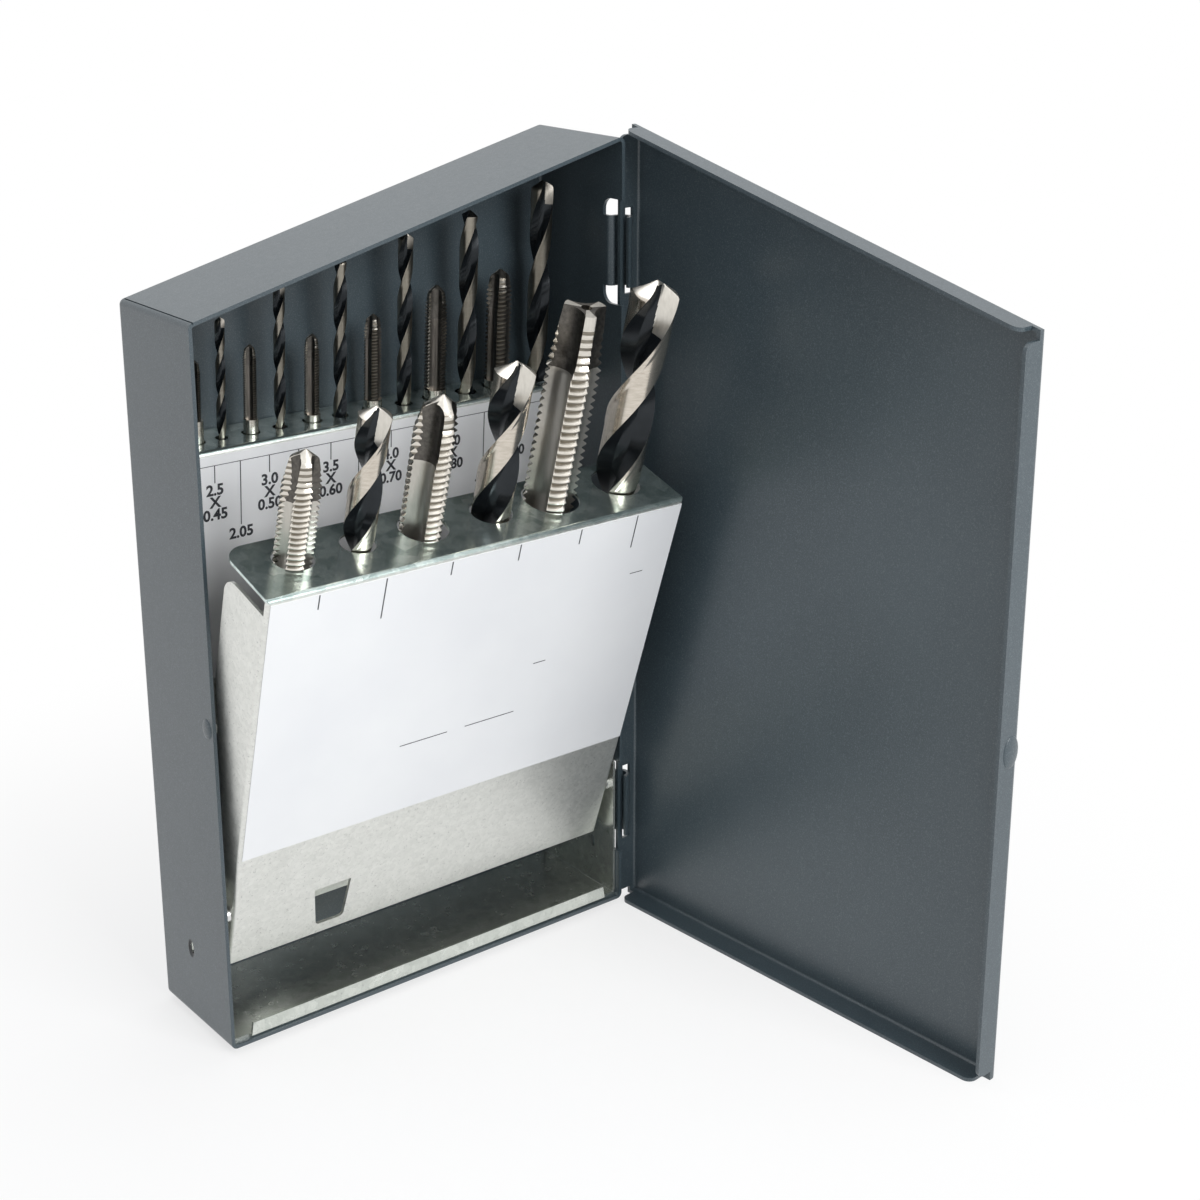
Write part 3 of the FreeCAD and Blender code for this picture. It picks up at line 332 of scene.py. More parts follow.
def enamel(name, dents=()):
    """Blue-grey stove enamel: satin, finely flecked, with a faint orange-peel. Painted shade
    makes the pressed dents near black."""
    material, tree, shader = new_material(name, (0.055, 0.07, 0.077), 0.0, 0.34)
    place = object_place(tree)
    cloud = noise(tree, place, 22, detail=4)
    base = ramp(tree, cloud, ((0.35, (0.036, 0.054, 0.066)), (0.7, (0.046, 0.067, 0.080))))
    speck = noise(tree, place, 3600, detail=2, roughness=0.7)
    fleck = ramp(tree, speck, ((0.5, grey(0.0)), (0.78, grey(1.0))))
    colour = blended(tree, fleck, base, (0.12, 0.15, 0.165))
    # painted shade: each dent turns near black
    for centre, radii in dents:
        colour = blended(tree, near_point(tree, place, centre, radii), colour,
                         (0.008, 0.009, 0.01))
    tree.links.new(colour, shader.inputs["Base Color"])
    tree.links.new(spread(tree, noise(tree, place, 700), 0.3, 0.42), shader.inputs["Roughness"])
    shader.inputs["Coat Weight"].default_value = 0.4
    shader.inputs["Coat Roughness"].default_value = 0.35
    bump(tree, shader, noise(tree, place, 2600), 0.25, 0.00003)
    return material


def zinc(tree, place, dark, pale, crystal_size):
    """Zinc crystals a little unlike in brightness, clouded, with dark pepper marks. Returns
    the colour and the brightness that it comes from."""
    crystal = tree.nodes.new("ShaderNodeSeparateColor")
    tree.links.new(cells(tree, place, crystal_size), crystal.inputs["Color"])
    cloud = spread(tree, noise(tree, place, 240, detail=6, roughness=0.78), 0.0, 0.7)
    tone = number(tree, "MULTIPLY_ADD", crystal.outputs["Red"], 0.3, cloud)
    base = ramp(tree, tone, ((0.15, dark), (0.8, pale)))
    speck = noise(tree, place, 1500, roughness=0.75)
    pepper = ramp(tree, speck, ((0.6, grey(0.0)), (0.7, grey(1.0))))
    return blended(tree, number(tree, "MULTIPLY", pepper, 0.45), base, grey(0.2)), tone


def galvanised(name, dark, pale, low, high):
    """Zinc-coated sheet, from a low to a high roughness."""
    material, tree, shader = new_material(name, pale, 0.9, (low + high) / 2)
    place = object_place(tree)
    colour, tone = zinc(tree, place, dark, pale, SHEET_CRYSTAL)
    tree.links.new(colour, shader.inputs["Base Color"])
    tree.links.new(spread(tree, tone, low, high), shader.inputs["Roughness"])
    bump(tree, shader, noise(tree, place, 1700, detail=4, roughness=0.7), 0.1, 0.00003)
    return material


def rack_sheet(rack_name):
    """Zinc-coated sheet of a rack: a dull, finely grained face, and a smoother shelf with larger
    crystals, which mirrors the tools; the shelf's darker, greener tone is painted reflection of the
    dark case."""
    rack = RACKS[rack_name]
    material, tree, shader = new_material(rack_name + "_rack_sheet", (0.7, 0.72, 0.69), 0.9, 0.3)
    place = object_place(tree)
    lean = math.radians(rack["lean"])
    face_colour, tone = zinc(tree, place, (0.68, 0.69, 0.655), (0.86, 0.865, 0.83), FACE_CRYSTAL)
    # The shelf's darker, greener tone is painted reflection of the dark case around it.
    shelf_zinc_and_reflection, _ = zinc(tree, place, (0.24, 0.33, 0.32), (0.74, 0.83, 0.8), SHELF_CRYSTAL)
    top = rack_point(rack_name, 0, 0, rack["height"] - rack["below"])
    up = (0, -math.sin(lean), math.cos(lean))
    height = number(tree, "SUBTRACT", along(tree, place, up), top.dot(Vector(up)))
    on_shelf = faded(tree, height, *SHELF_START)
    tree.links.new(blended(tree, on_shelf, face_colour, shelf_zinc_and_reflection), shader.inputs["Base Color"])
    face_rough = spread(tree, tone, 0.34, 0.5)
    smoother = number(tree, "SUBTRACT", SHELF_ROUGHNESS, face_rough)
    rough = number(tree, "MULTIPLY_ADD", on_shelf, smoother, face_rough)
    tree.links.new(rough, shader.inputs["Roughness"])
    bump(tree, shader, noise(tree, place, 520, detail=6, roughness=0.75), 0.16, 0.00005)
    return material


def ground_steel(name, dark, pale, roughness, streak):
    """Tool steel with fine grinding lines: streak says how closely they follow each other
    along x, y and z."""
    material, tree, shader = new_material(name, pale, 1.0, roughness)
    place = object_place(tree)
    lines = noise(tree, stretched(tree, place, streak), 400, detail=4, roughness=0.6)
    tree.links.new(ramp(tree, lines, ((0.25, dark), (0.75, pale))), shader.inputs["Base Color"])
    tree.links.new(spread(tree, lines, roughness * 0.8, roughness * 1.3),
                   shader.inputs["Roughness"])
    bump(tree, shader, lines, 0.12, 0.00002)
    return material


def black_oxide():
    """Steam-blacked flute: near black with a blue sheen and faint bronze clouds."""
    material, tree, shader = new_material("black_oxide", (0.02, 0.022, 0.025), 0.6, 0.2)
    place = object_place(tree)
    cloud = noise(tree, place, 140, detail=4)
    colour = ramp(tree, cloud, ((0.3, (0.010, 0.013, 0.016)), (0.62, (0.022, 0.026, 0.03)),
                                (0.85, (0.055, 0.046, 0.034))))
    tree.links.new(colour, shader.inputs["Base Color"])
    tree.links.new(spread(tree, noise(tree, place, 900), 0.16, 0.3), shader.inputs["Roughness"])
    return material


def card(name, white):
    """White printed card under a thin clear film."""
    material, tree, shader = new_material(name, grey(white), 0.0, 0.4)
    place = object_place(tree)
    tone = noise(tree, place, 30)
    low = (white - 0.03, white - 0.02, white)
    high = (white + 0.02, white + 0.03, white + 0.04)
    tree.links.new(ramp(tree, tone, ((0.3, low), (0.7, high))), shader.inputs["Base Color"])
    shader.inputs["Coat Weight"].default_value = 0.25
    shader.inputs["Coat Roughness"].default_value = 0.25
    bump(tree, shader, noise(tree, place, 260, detail=2), 0.05, 0.00005)
    return material


def ink():
    material, tree, shader = new_material("printing_ink", (0.03, 0.033, 0.04), 0.0, 0.5)
    tone = noise(tree, object_place(tree), 1800, detail=2)
    colour = ramp(tree, tone, ((0.3, (0.02, 0.022, 0.028)), (0.8, (0.07, 0.072, 0.08))))
    tree.links.new(colour, shader.inputs["Base Color"])
    return material


# Dents pressed in both painted walls where the pan's ears are staked, which get painted
# shade: middle and half size, in metres.
EAR_DENT_SHADE = [((side * 0.0533, 0.0162, 0.0171), (0.0015, 0.0013, 0.0021)) for side in (-1, 1)]

CASE_PAINT = enamel("blue_grey_enamel", EAR_DENT_SHADE)
LID_PAINT = enamel("lid_enamel")
SHEET = galvanised("galvanised_sheet", (0.42, 0.45, 0.41), (0.74, 0.76, 0.72), 0.3, 0.46)
PAN = galvanised("galvanised_pan", (0.5, 0.53, 0.49), (0.76, 0.79, 0.74), 0.18, 0.32)
FRONT_SHEET = rack_sheet("front")
REAR_SHEET = rack_sheet("rear")
PIN = ground_steel("bright_pin", (0.6, 0.6, 0.6), (0.85, 0.85, 0.84), 0.25, (1, 1, 1))
THREAD = ground_steel("ground_thread", (0.6, 0.565, 0.5), (0.78, 0.745, 0.68), 0.22, (1, 1, 6))
# Painted shade for the thread's roots.
THREAD_ROOT_SHADE = ground_steel("thread_root_shade", (0.16, 0.145, 0.12), (0.32, 0.29, 0.24), 0.3,
                           (1, 1, 6))
TAP_FLUTE = ground_steel("ground_flute", (0.5, 0.475, 0.43), (0.58, 0.555, 0.51), 0.34,
                         (6, 6, 0.5))
# Painted shade for the gashes and the centre hole.
GASH_SHADE = ground_steel("gash_shade", (0.07, 0.065, 0.06), (0.16, 0.15, 0.135), 0.34, (3, 3, 3))
LAND = ground_steel("straw_land", (0.55, 0.5, 0.43), (0.72, 0.66, 0.58), 0.22, (1, 1, 5))
FACET = ground_steel("ground_point", (0.6, 0.575, 0.52), (0.74, 0.71, 0.65), 0.3, (4, 4, 1))
OXIDE = black_oxide()
# Darker copies of the tool steels for the rear tools: painted shade, as they stand deep in the case.
SHADED_THREAD = ground_steel("shaded_thread", (0.1, 0.095, 0.085), (0.2, 0.19, 0.17), 0.3, (1, 1, 6))
SHADED_FLUTE = ground_steel("shaded_flute", (0.12, 0.11, 0.1), (0.22, 0.2, 0.18), 0.3, (6, 6, 0.5))
SHADED_LAND = ground_steel("shaded_land", (0.27, 0.25, 0.21), (0.33, 0.305, 0.26), 0.3, (1, 1, 5))
SHADED_POINT = ground_steel("shaded_point", (0.18, 0.17, 0.15), (0.3, 0.28, 0.25), 0.32, (4, 4, 1))
# The rear card is made whiter than the front card as painted light, to lift it out of the case's shade.
FRONT_CARD = card("front_card", 0.79)
REAR_CARD = card("rear_card", 0.92)
INK = ink()


def finish_node(node, material):
    """Gives a node of the frame its finish."""
    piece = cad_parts[node]
    piece.data.materials.clear()
    piece.data.materials.append(material)


# ------------------------------------------------------------------ reckoning in node trees

class Field:
    """A value of a Geometry Nodes tree that can be reckoned with like a number."""

    def __init__(self, tree, socket):
        self.tree = tree
        self.socket = socket

    def reckon(self, operation, *others):
        node = self.tree.nodes.new("ShaderNodeMath")
        node.operation = operation
        for index, value in enumerate((self,) + others):
            if isinstance(value, Field):
                self.tree.links.new(value.socket, node.inputs[index])
            else:
                node.inputs[index].default_value = value
        return Field(self.tree, node.outputs["Value"])

    def __add__(self, other):
        return self.reckon("ADD", other)

    def __sub__(self, other):
        return self.reckon("SUBTRACT", other)

    def __rsub__(self, other):
        return (self * -1.0) + other

    def __mul__(self, other):
        return self.reckon("MULTIPLY", other)

    def __truediv__(self, other):
        return self.reckon("DIVIDE", other)

    def low(self, other):
        return self.reckon("MINIMUM", other)

    def high(self, other):
        return self.reckon("MAXIMUM", other)

    def floor(self):
        return self.reckon("FLOOR")

    def wrap(self, span):
        return self.reckon("FLOORED_MODULO", span)

    def below(self, other):
        return self.reckon("LESS_THAN", other)

    def above(self, other):
        return self.reckon("GREATER_THAN", other)

    def sine(self):
        return self.reckon("SINE")

    def cosine(self):
        return self.reckon("COSINE")

    def arccosine(self):
        return self.reckon("ARCCOSINE")

    def root(self):
        return self.reckon("SQRT")


def pick(condition, when_true, when_false):
    """when_true where the condition is 1 and when_false where it is 0."""
    return condition * when_true + (1.0 - condition) * when_false


class Tree:
    """A Geometry Nodes tree that bends a sheet of squares into a round piece: across the
    sheet runs round the piece, and along it runs up the piece, both from 0 to 1."""

    def __init__(self, name, inputs):
        self.group = bpy.data.node_groups.new(name, "GeometryNodeTree")
        self.group.interface.new_socket("Geometry", in_out="OUTPUT",
                                        socket_type="NodeSocketGeometry")
        self.names = {}
        for label in inputs:
            socket_type = "NodeSocketInt" if label in ("Columns", "Rows") else "NodeSocketFloat"
            socket = self.group.interface.new_socket(label, in_out="INPUT",
                                                     socket_type=socket_type)
            self.names[label] = socket.identifier
        self.entry = self.group.nodes.new("NodeGroupInput")
        self.sheet = self.group.nodes.new("GeometryNodeMeshGrid")
        for label, socket in (("Columns", "Vertices X"), ("Rows", "Vertices Y")):
            self.group.links.new(self.entry.outputs[label], self.sheet.inputs[socket])
        position = self.group.nodes.new("GeometryNodeInputPosition")
        split = self.group.nodes.new("ShaderNodeSeparateXYZ")
        self.group.links.new(position.outputs[0], split.inputs[0])
        self.across = Field(self.group, split.outputs["X"]) + 0.5
        self.along = Field(self.group, split.outputs["Y"]) + 0.5
        self.mesh = self.sheet.outputs["Mesh"]

    def value(self, label):
        return Field(self.group, self.entry.outputs[label])

    def keep(self, label, field):
        """Stores a value on the faces before they move."""
        node = self.group.nodes.new("GeometryNodeStoreNamedAttribute")
        node.data_type = "FLOAT"
        node.domain = "FACE"
        node.inputs["Name"].default_value = label
        self.group.links.new(self.mesh, node.inputs["Geometry"])
        self.group.links.new(field.socket, node.inputs["Value"])
        self.mesh = node.outputs["Geometry"]

    def kept(self, label):
        node = self.group.nodes.new("GeometryNodeInputNamedAttribute")
        node.data_type = "FLOAT"
        node.inputs["Name"].default_value = label
        return Field(self.group, node.outputs["Attribute"])

    def move(self, radius, angle, height):
        place = self.group.nodes.new("GeometryNodeSetPosition")
        join = self.group.nodes.new("ShaderNodeCombineXYZ")
        for field, socket in ((radius * angle.cosine(), "X"), (radius * angle.sine(), "Y"),
                              (height, "Z")):
            self.group.links.new(field.socket, join.inputs[socket])
        self.group.links.new(self.mesh, place.inputs["Geometry"])
        self.group.links.new(join.outputs[0], place.inputs["Position"])
        self.mesh = place.outputs["Geometry"]

    def weld(self, distance):
        node = self.group.nodes.new("GeometryNodeMergeByDistance")
        node.inputs["Distance"].default_value = distance
        self.group.links.new(self.mesh, node.inputs["Geometry"])
        self.mesh = node.outputs["Geometry"]

    def paint(self, material, where=None):
        node = self.group.nodes.new("GeometryNodeSetMaterial")
        node.inputs["Material"].default_value = material
        self.group.links.new(self.mesh, node.inputs["Geometry"])
        if where is not None:
            self.group.links.new(where.socket, node.inputs["Selection"])
        self.mesh = node.outputs["Geometry"]

    def close(self):
        real = self.group.nodes.new("GeometryNodeRealizeInstances")
        self.group.links.new(self.mesh, real.inputs["Geometry"])
        exit_node = self.group.nodes.new("NodeGroupOutput")
        self.group.links.new(real.outputs["Geometry"], exit_node.inputs["Geometry"])

    def make(self, name, values):
        """Runs the tree once and returns its result as a plain mesh."""
        maker = bpy.data.objects.new(name + "_maker", bpy.data.meshes.new(name + "_maker"))
        bpy.context.scene.collection.objects.link(maker)
        modifier = maker.modifiers.new("shape", "NODES")
        modifier.node_group = self.group
        for label, value in values.items():
            modifier[self.names[label]] = value
        bpy.context.view_layer.update()
        ready = maker.evaluated_get(bpy.context.evaluated_depsgraph_get())
        mesh = bpy.data.meshes.new_from_object(ready)
        mesh.name = name
        maker.modifiers.remove(modifier)
        bpy.data.objects.remove(maker)
        return mesh


def drill_tree(name, land, point):
    """Twist drill: two lands and two flutes wound up the body, ground to a point."""
    tree = Tree(name, ("Columns", "Rows", "Radius", "Length", "Fluted", "Lead", "Flute Centre",
                       "Flute Radius", "Land Share", "Point"))
    radius = tree.value("Radius")
    length = tree.value("Length")
    # round: each half of the sheet is a land and then the flute beside it
    half = (tree.across * 2.0).wrap(1.0)
    second = (tree.across * 2.0).floor()
    share = tree.value("Land Share")
    in_land = half.below(share - 0.0001)
    margin = half.below(share * MARGIN_SHARE)
    land_radius = pick(margin, 1.0, BODY_RADIUS)
    # the flute's wall is where a ray from the axis meets the flute's circle
    off_centre = (half - (share + 1.0) / 2.0) * math.pi
    centre = tree.value("Flute Centre")
    flute = tree.value("Flute Radius")
    side = off_centre.sine() * centre
    hollow = off_centre.cosine() * centre - (flute * flute - side * side).high(0.0).root()
    section = pick(in_land, land_radius, hollow.low(BODY_RADIUS))
    # up: closed foot, plain shank, fluted body, closed point
    height = ((tree.along - END_ROWS) / (1.0 - 2.0 * END_ROWS)).high(0.0).low(1.0) * length
    start = length - tree.value("Fluted")
    depth = ((height - start) / (radius * RUN_OUT)).high(0.0).low(1.0)
    depth = depth * depth * (3.0 - depth * 2.0)
    body = 1.0 - depth * (1.0 - section)
    cone = (length - height) * tree.value("Point")
    ends = tree.along.above(0.0001) * tree.along.below(0.9999)
    clipped = (body * radius).low(cone) * ends
    angle = (half + second) * math.pi + height / tree.value("Lead") * math.tau
    fluted = height.above(start) * (1.0 - in_land)
    tree.keep("fluted", fluted)
    tree.keep("pointed", cone.below(body * radius * 0.999))
    below_tip = (length - height) / (radius * RIM_LENGTH)
    rim = (1.0 - below_tip * below_tip) * RIM_SHARE
    tree.keep("rimmed", fluted * half.above(1.0 - rim))
    tree.move(clipped, angle, height)
    tree.paint(land)
    tree.paint(OXIDE, tree.kept("fluted").above(0.5))
    tree.paint(point, tree.kept("rimmed").above(0.5))
    tree.paint(point, tree.kept("pointed").above(0.5))
    tree.weld(0.0005)
    tree.close()
    return tree


def tap_tree(name, crest, flute_face, point):
    """Threaded end of a tap: a helical thread broken by three straight flutes, with a
    deeper gash in each flute at the point."""
    tree = Tree(name, ("Columns", "Rows", "Radius", "Length", "Pitch", "Depth", "Taper", "Tip",
                       "Flute Centre", "Flute Radius", "Gash", "Gash Length", "Hole",
                       "Hole Depth"))
    radius = tree.value("Radius")
    length = tree.value("Length")
    rows = tree.value("Rows")
    centre = tree.value("Flute Centre")
    flute = tree.value("Flute Radius")
    # up: rows of crest, crest, root, root in each turn, and three at the tip that close it.
    # Some turns lie beyond either end, and their height is held at that end.
    row = (tree.along * (rows - 1.0) + 0.001).floor()
    phase = row.wrap(float(ROWS_A_TURN))
    at_root = (phase / 2.0 + 0.01).floor()
    whole = (row / float(ROWS_A_TURN)).floor()
    step = whole + at_root * ROOT_START + phase.wrap(2.0) * CREST_WIDTH - 2.0
    thread = radius - at_root * tree.value("Depth")

    def up(turn):
        """Height of a row at a share of a turn."""
        return ((step + turn) * tree.value("Pitch")).high(0.0).low(length)

    def pointed(height):
        """Radius of the thread, or of the taper or the tip's cone where that is smaller."""
        left = length - height
        cone = tree.value("Tip") + left * POINT_SLOPE
        start = tree.value("Tip").high(radius * TAPER_START)
        taper = start + (radius - start) * left / tree.value("Taper")
        return thread.low(cone).low(taper).high(THINNEST)

    # the angle at which the flute's circle, which lies deeper in the gash, cuts the thread
    rough = up(tree.across)
    gash = ((rough - length + tree.value("Gash Length")) / GASH_RAMP).high(0.0).low(1.0)
    middle = centre - gash * tree.value("Gash")
    reach = pointed(rough)
    bite = (reach * reach + middle * middle - flute * flute) / (reach * middle * 2.0)
    edge = bite.low(1.0).high(-1.0).arccosine()
    # round: each third of the sheet is a flute and then the land beside it
    sector = (tree.across * 3.0).wrap(1.0)
    third = (tree.across * 3.0).floor()
    in_flute = sector.below(FLUTE_COLUMNS - 0.0001)
    flute_angle = edge * (sector / FLUTE_COLUMNS * 2.0 - 1.0)
    over_land = (sector - FLUTE_COLUMNS) / (1.0 - FLUTE_COLUMNS)
    land_angle = edge + over_land * (math.tau / 3 - edge * 2.0)
    local = pick(in_flute, flute_angle, land_angle)
    angle = local + third * (math.tau / 3)
    height = up(angle / math.tau)
    side = local.sine() * middle
    inner = (flute * flute - side * side).high(0.0).root()
    hollow = (local.cosine() * middle - inner).high(0.0)
    body = pointed(height).low(pick(in_flute, hollow, radius * 2.0))
    # the last rows: edge of the centre hole, its floor, and the axis
    from_end = rows - 1.0 - row
    closing = from_end.below(2.5)
    bore = from_end.below(1.5)
    centre_line = 1.0 - from_end.below(0.5)
    ends = row.above(0.5)
    radial = pick(closing, tree.value("Hole") * centre_line, body * ends)
    lift = pick(closing, length - tree.value("Hole Depth") * bore, height)
    top = from_end.below(3.5)
    ground = (length - height).below(radius * GROUND_TIP) * (1.0 - in_flute)
    tree.keep("fluted", in_flute * (1.0 - top))
    tree.keep("gash_shaded", (in_flute * gash.above(GASH_EDGE) + bore).low(1.0))
    tree.keep("root_shaded", phase.above(1.5) * pointed(height).above(radius * ROOT_SHADE))
    tree.keep("faced", top + ground)
    tree.move(radial, angle, lift)
    tree.paint(crest)
    # painted shade in the thread's roots
    tree.paint(THREAD_ROOT_SHADE, tree.kept("root_shaded").above(0.5))
    tree.paint(point, tree.kept("faced").above(0.5))
    tree.paint(flute_face, tree.kept("fluted").above(0.5))
    # painted shade in the gashes and the centre hole
    tree.paint(GASH_SHADE, tree.kept("gash_shaded").above(0.5))
    tree.weld(0.0008)
    tree.close()
    return tree


def polish(mesh, angle):
    """Smooth faces with crisp edges where the surface turns sharply."""
    for face in mesh.polygons:
        face.use_smooth = True
    mesh.set_sharp_from_angle(angle=math.radians(angle))


def new_piece(name, mesh, body):
    piece = bpy.data.objects.new(name, mesh)
    bpy.context.scene.collection.objects.link(piece)
    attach(piece, body)
    return piece


def turned_shank(name, radius, square, high):
    """Plain round shank up to a height, with a drive square and a small chamfer at its foot."""
    sides = SHANK_SIDES
    flat = radius * SQUARE_FLAT
    rows = []
    for z, squared, scale in ((0.0, True, FOOT_SCALE), (FOOT_CHAMFER, True, 1.0),
                              (square, True, 1.0), (square + SQUARE_SHOULDER, False, 1.0),
                              (high, False, 1.0)):
        ring = []
        for i in range(sides):
            angle = math.tau * i / sides
            x = radius * math.cos(angle)
            y = radius * math.sin(angle)
            if squared:
                x = max(-flat, min(flat, x))
                y = max(-flat, min(flat, y))
            ring.append((x * scale, y * scale, z))
        rows.append(ring)
    points = [point for ring in rows for point in ring]
    faces = []
    for r in range(len(rows) - 1):
        for i in range(sides):
            j = (i + 1) % sides
            faces.append((r * sides + i, r * sides + j, (r + 1) * sides + j, (r + 1) * sides + i))
    faces.append(tuple(range(sides))[::-1])
    faces.append(tuple(range((len(rows) - 1) * sides, len(rows) * sides)))
    mesh = bpy.data.meshes.new(name + "_shank")
    mesh.from_pydata(points, [], faces)
    mesh.materials.append(THREAD)
    return mesh


def join_meshes(name, meshes):
    """One mesh of several, with each part's own materials."""
    points = []
    faces = []
    owners = []
    materials = []
    for mesh in meshes:
        start = len(points)
        points += [tuple(v.co) for v in mesh.vertices]
        for face in mesh.polygons:
            faces.append(tuple(start + i for i in face.vertices))
            material = mesh.materials[face.material_index] if mesh.materials else None
            if material not in materials:
                materials.append(material)
            owners.append(materials.index(material))
    joined = bpy.data.meshes.new(name)
    joined.from_pydata(points, [], faces)
    for material in materials:
        joined.materials.append(material)
    for face, owner in zip(joined.polygons, owners):
        face.material_index = owner
    joined.validate()
    joined.update()
    return joined


def build_drills():
    trees = {"front": drill_tree("large_drill", LAND, FACET),
             "rear": drill_tree("small_drill", SHADED_LAND, SHADED_POINT)}
    # the flute is a circle through the web and both edges of the lands
    half_flute = math.pi / 2 * (1 - LAND_SHARE)
    centre = (1 - DRILL_WEB ** 2) / 2 / (math.cos(half_flute) - DRILL_WEB)
    for node, drill in DRILLS.items():
        rack = drill.rack
        columns, rows = DRILL_SHEET[rack]
        lead = math.pi * drill.size / math.tan(HELIX_ANGLE[rack])
        turn = FRONT_SIDE - 90 * LAND_SHARE - 360 * (drill.length - drill.land_drop) / lead
        mesh = trees[rack].make(node + "_twist", {
            "Columns": columns, "Rows": rows, "Radius": drill.size / 2, "Length": drill.length,
            "Fluted": drill.fluted, "Lead": lead, "Flute Centre": centre,
            "Flute Radius": centre - DRILL_WEB, "Land Share": LAND_SHARE,
            "Point": math.tan(POINT_ANGLE / 2)})
        mesh = join_meshes(node + "_visible", [mesh])
        polish(mesh, DRILL_CREASE)
        mesh.transform(tool_matrix(rack, rack + "_drill", drill.place, drill.size, turn))
        piece = new_piece(node + "_visible", mesh, node)
        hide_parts(node)


def build_taps():
    trees = {"front": tap_tree("large_tap", THREAD, TAP_FLUTE, FACET),
             "rear": tap_tree("small_tap", SHADED_THREAD, SHADED_FLUTE, SHADED_POINT)}
    for node, tap in TAPS.items():
        rack = tap.rack
        radius = tap.size / 2
        bored = tap.tip > radius
        hole = CENTRE_HOLE if bored else 0.0
        turns = math.ceil(tap.thread / tap.pitch) + SPARE_TURNS
        mesh = trees[rack].make(node + "_thread", {
            "Columns": TAP_COLUMNS[rack], "Rows": ROWS_A_TURN * turns, "Radius": radius,
            "Length": tap.thread, "Pitch": tap.pitch, "Depth": THREAD_DEPTH * tap.pitch,
            "Taper": tap.taper, "Tip": tap.tip / 2, "Flute Centre": radius * tap.flutes_out,
            "Flute Radius": radius * (tap.flutes_out - TAP_CORE), "Gash": radius * GASH_DEPTH,
            "Gash Length": tap.size * (BORED_GASH if bored else POINTED_GASH),
            "Hole": hole, "Hole Depth": hole})
        neck = tap.length - tap.thread
        mesh.transform(Matrix.Translation((0, 0, neck)))
        shaft = turned_shank(node, tap.shank / 2, tap.square, neck)
        mesh = join_meshes(node + "_visible", [mesh, shaft])
        polish(mesh, TAP_CREASE)
        mesh.transform(tool_matrix(rack, rack + "_tap", tap.place, tap.shank, tap.turn))
        piece = new_piece(node + "_visible", mesh, node)
        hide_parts(node)


# ------------------------------------------------------------------ printing on the cards

# Thickness of the ink and of the card.
PRINT_HEIGHT = 0.03
LABEL_STAND = 0.15

# Rear card: a line across it, ticks down from the line, and figures. Drops are below the line,
# but the line's own drop is below the shelf.
LINE_DROP = 3.2
LINE_HALF = 50.4
LINE_WIDTH = 0.14
TICK_SHIFT = 0.7
TICK_WIDTH = 0.22
TAP_TICK = 3.8
DRILL_TICK = 14.0
TAP_FIGURES = 5.4
DRILL_FIGURES = 15.8
FIGURE_SIZE = 3.3
FIGURE_ROW = 2.7
FIGURE_WEIGHT = 0.03

# Front card: ticks (place across, reach below the shelf) and short rules (from, to, how far
# below the shelf).
FRONT_TICK_START = 1.3
FRONT_TICK_WIDTH = 0.28
FRONT_RULE_WIDTH = 0.2
FRONT_TICKS = ((-40.4, 4.7), (-25.1, 11.0), (-9.4, 4.5), (7.6, 5.2), (23.5, 5.0), (38.8, 9.6))
FRONT_RULES = ((-14.6, -2.5, 47.4), (2.1, 15.1, 47.4), (17.9, 21.2, 35.1), (40.5, 44.0, 17.0))


def card_matrix(rack_name):
    """Printing lies on the card: x to the right, y up the face, z out of the card."""
    rack = RACKS[rack_name]
    face = -rack["face_ahead"] - LABEL_STAND
    origin = rack_point(rack_name, 0, face, 0)
    lean = math.radians(rack["lean"])
    upright = Matrix.Rotation(lean + math.pi / 2, 4, "X")
    return Matrix.Translation(origin) @ upright @ Matrix.Scale(MM, 4)


def bar(x, low, high, width):
    """A thin printed bar as a closed box."""
    a = x - width / 2
    b = x + width / 2
    points = [(a, low, 0), (b, low, 0), (b, high, 0), (a, high, 0), (a, low, PRINT_HEIGHT),
              (b, low, PRINT_HEIGHT), (b, high, PRINT_HEIGHT), (a, high, PRINT_HEIGHT)]
    faces = [(3, 2, 1, 0), (4, 5, 6, 7), (0, 1, 5, 4), (1, 2, 6, 5), (2, 3, 7, 6), (3, 0, 4, 7)]
    mesh = bpy.data.meshes.new("bar")
    mesh.from_pydata(points, [], faces)
    mesh.materials.append(INK)
    return mesh


def rule(left, right, y, width):
    """A thin printed line across the card."""
    return bar((left + right) / 2, y - width / 2, y + width / 2, right - left)


def lettering(words, x, y):
    """Plain figures, centred at a place on the card."""
    curve = bpy.data.curves.new("figures", "FONT")
    curve.body = words
    curve.size = FIGURE_SIZE
    curve.align_x = "CENTER"
    curve.align_y = "CENTER"
    curve.extrude = PRINT_HEIGHT / 2
    curve.offset = FIGURE_WEIGHT * FIGURE_SIZE
    curve.resolution_u = 3
    maker = bpy.data.objects.new("figures", curve)
    bpy.context.scene.collection.objects.link(maker)
    bpy.context.view_layer.update()
    ready = maker.evaluated_get(bpy.context.evaluated_depsgraph_get())
    mesh = bpy.data.meshes.new_from_object(ready)
    mesh.transform(Matrix.Translation((x, y, PRINT_HEIGHT / 2)))
    mesh.materials.clear()
    mesh.materials.append(INK)
    bpy.data.objects.remove(maker)
    return mesh


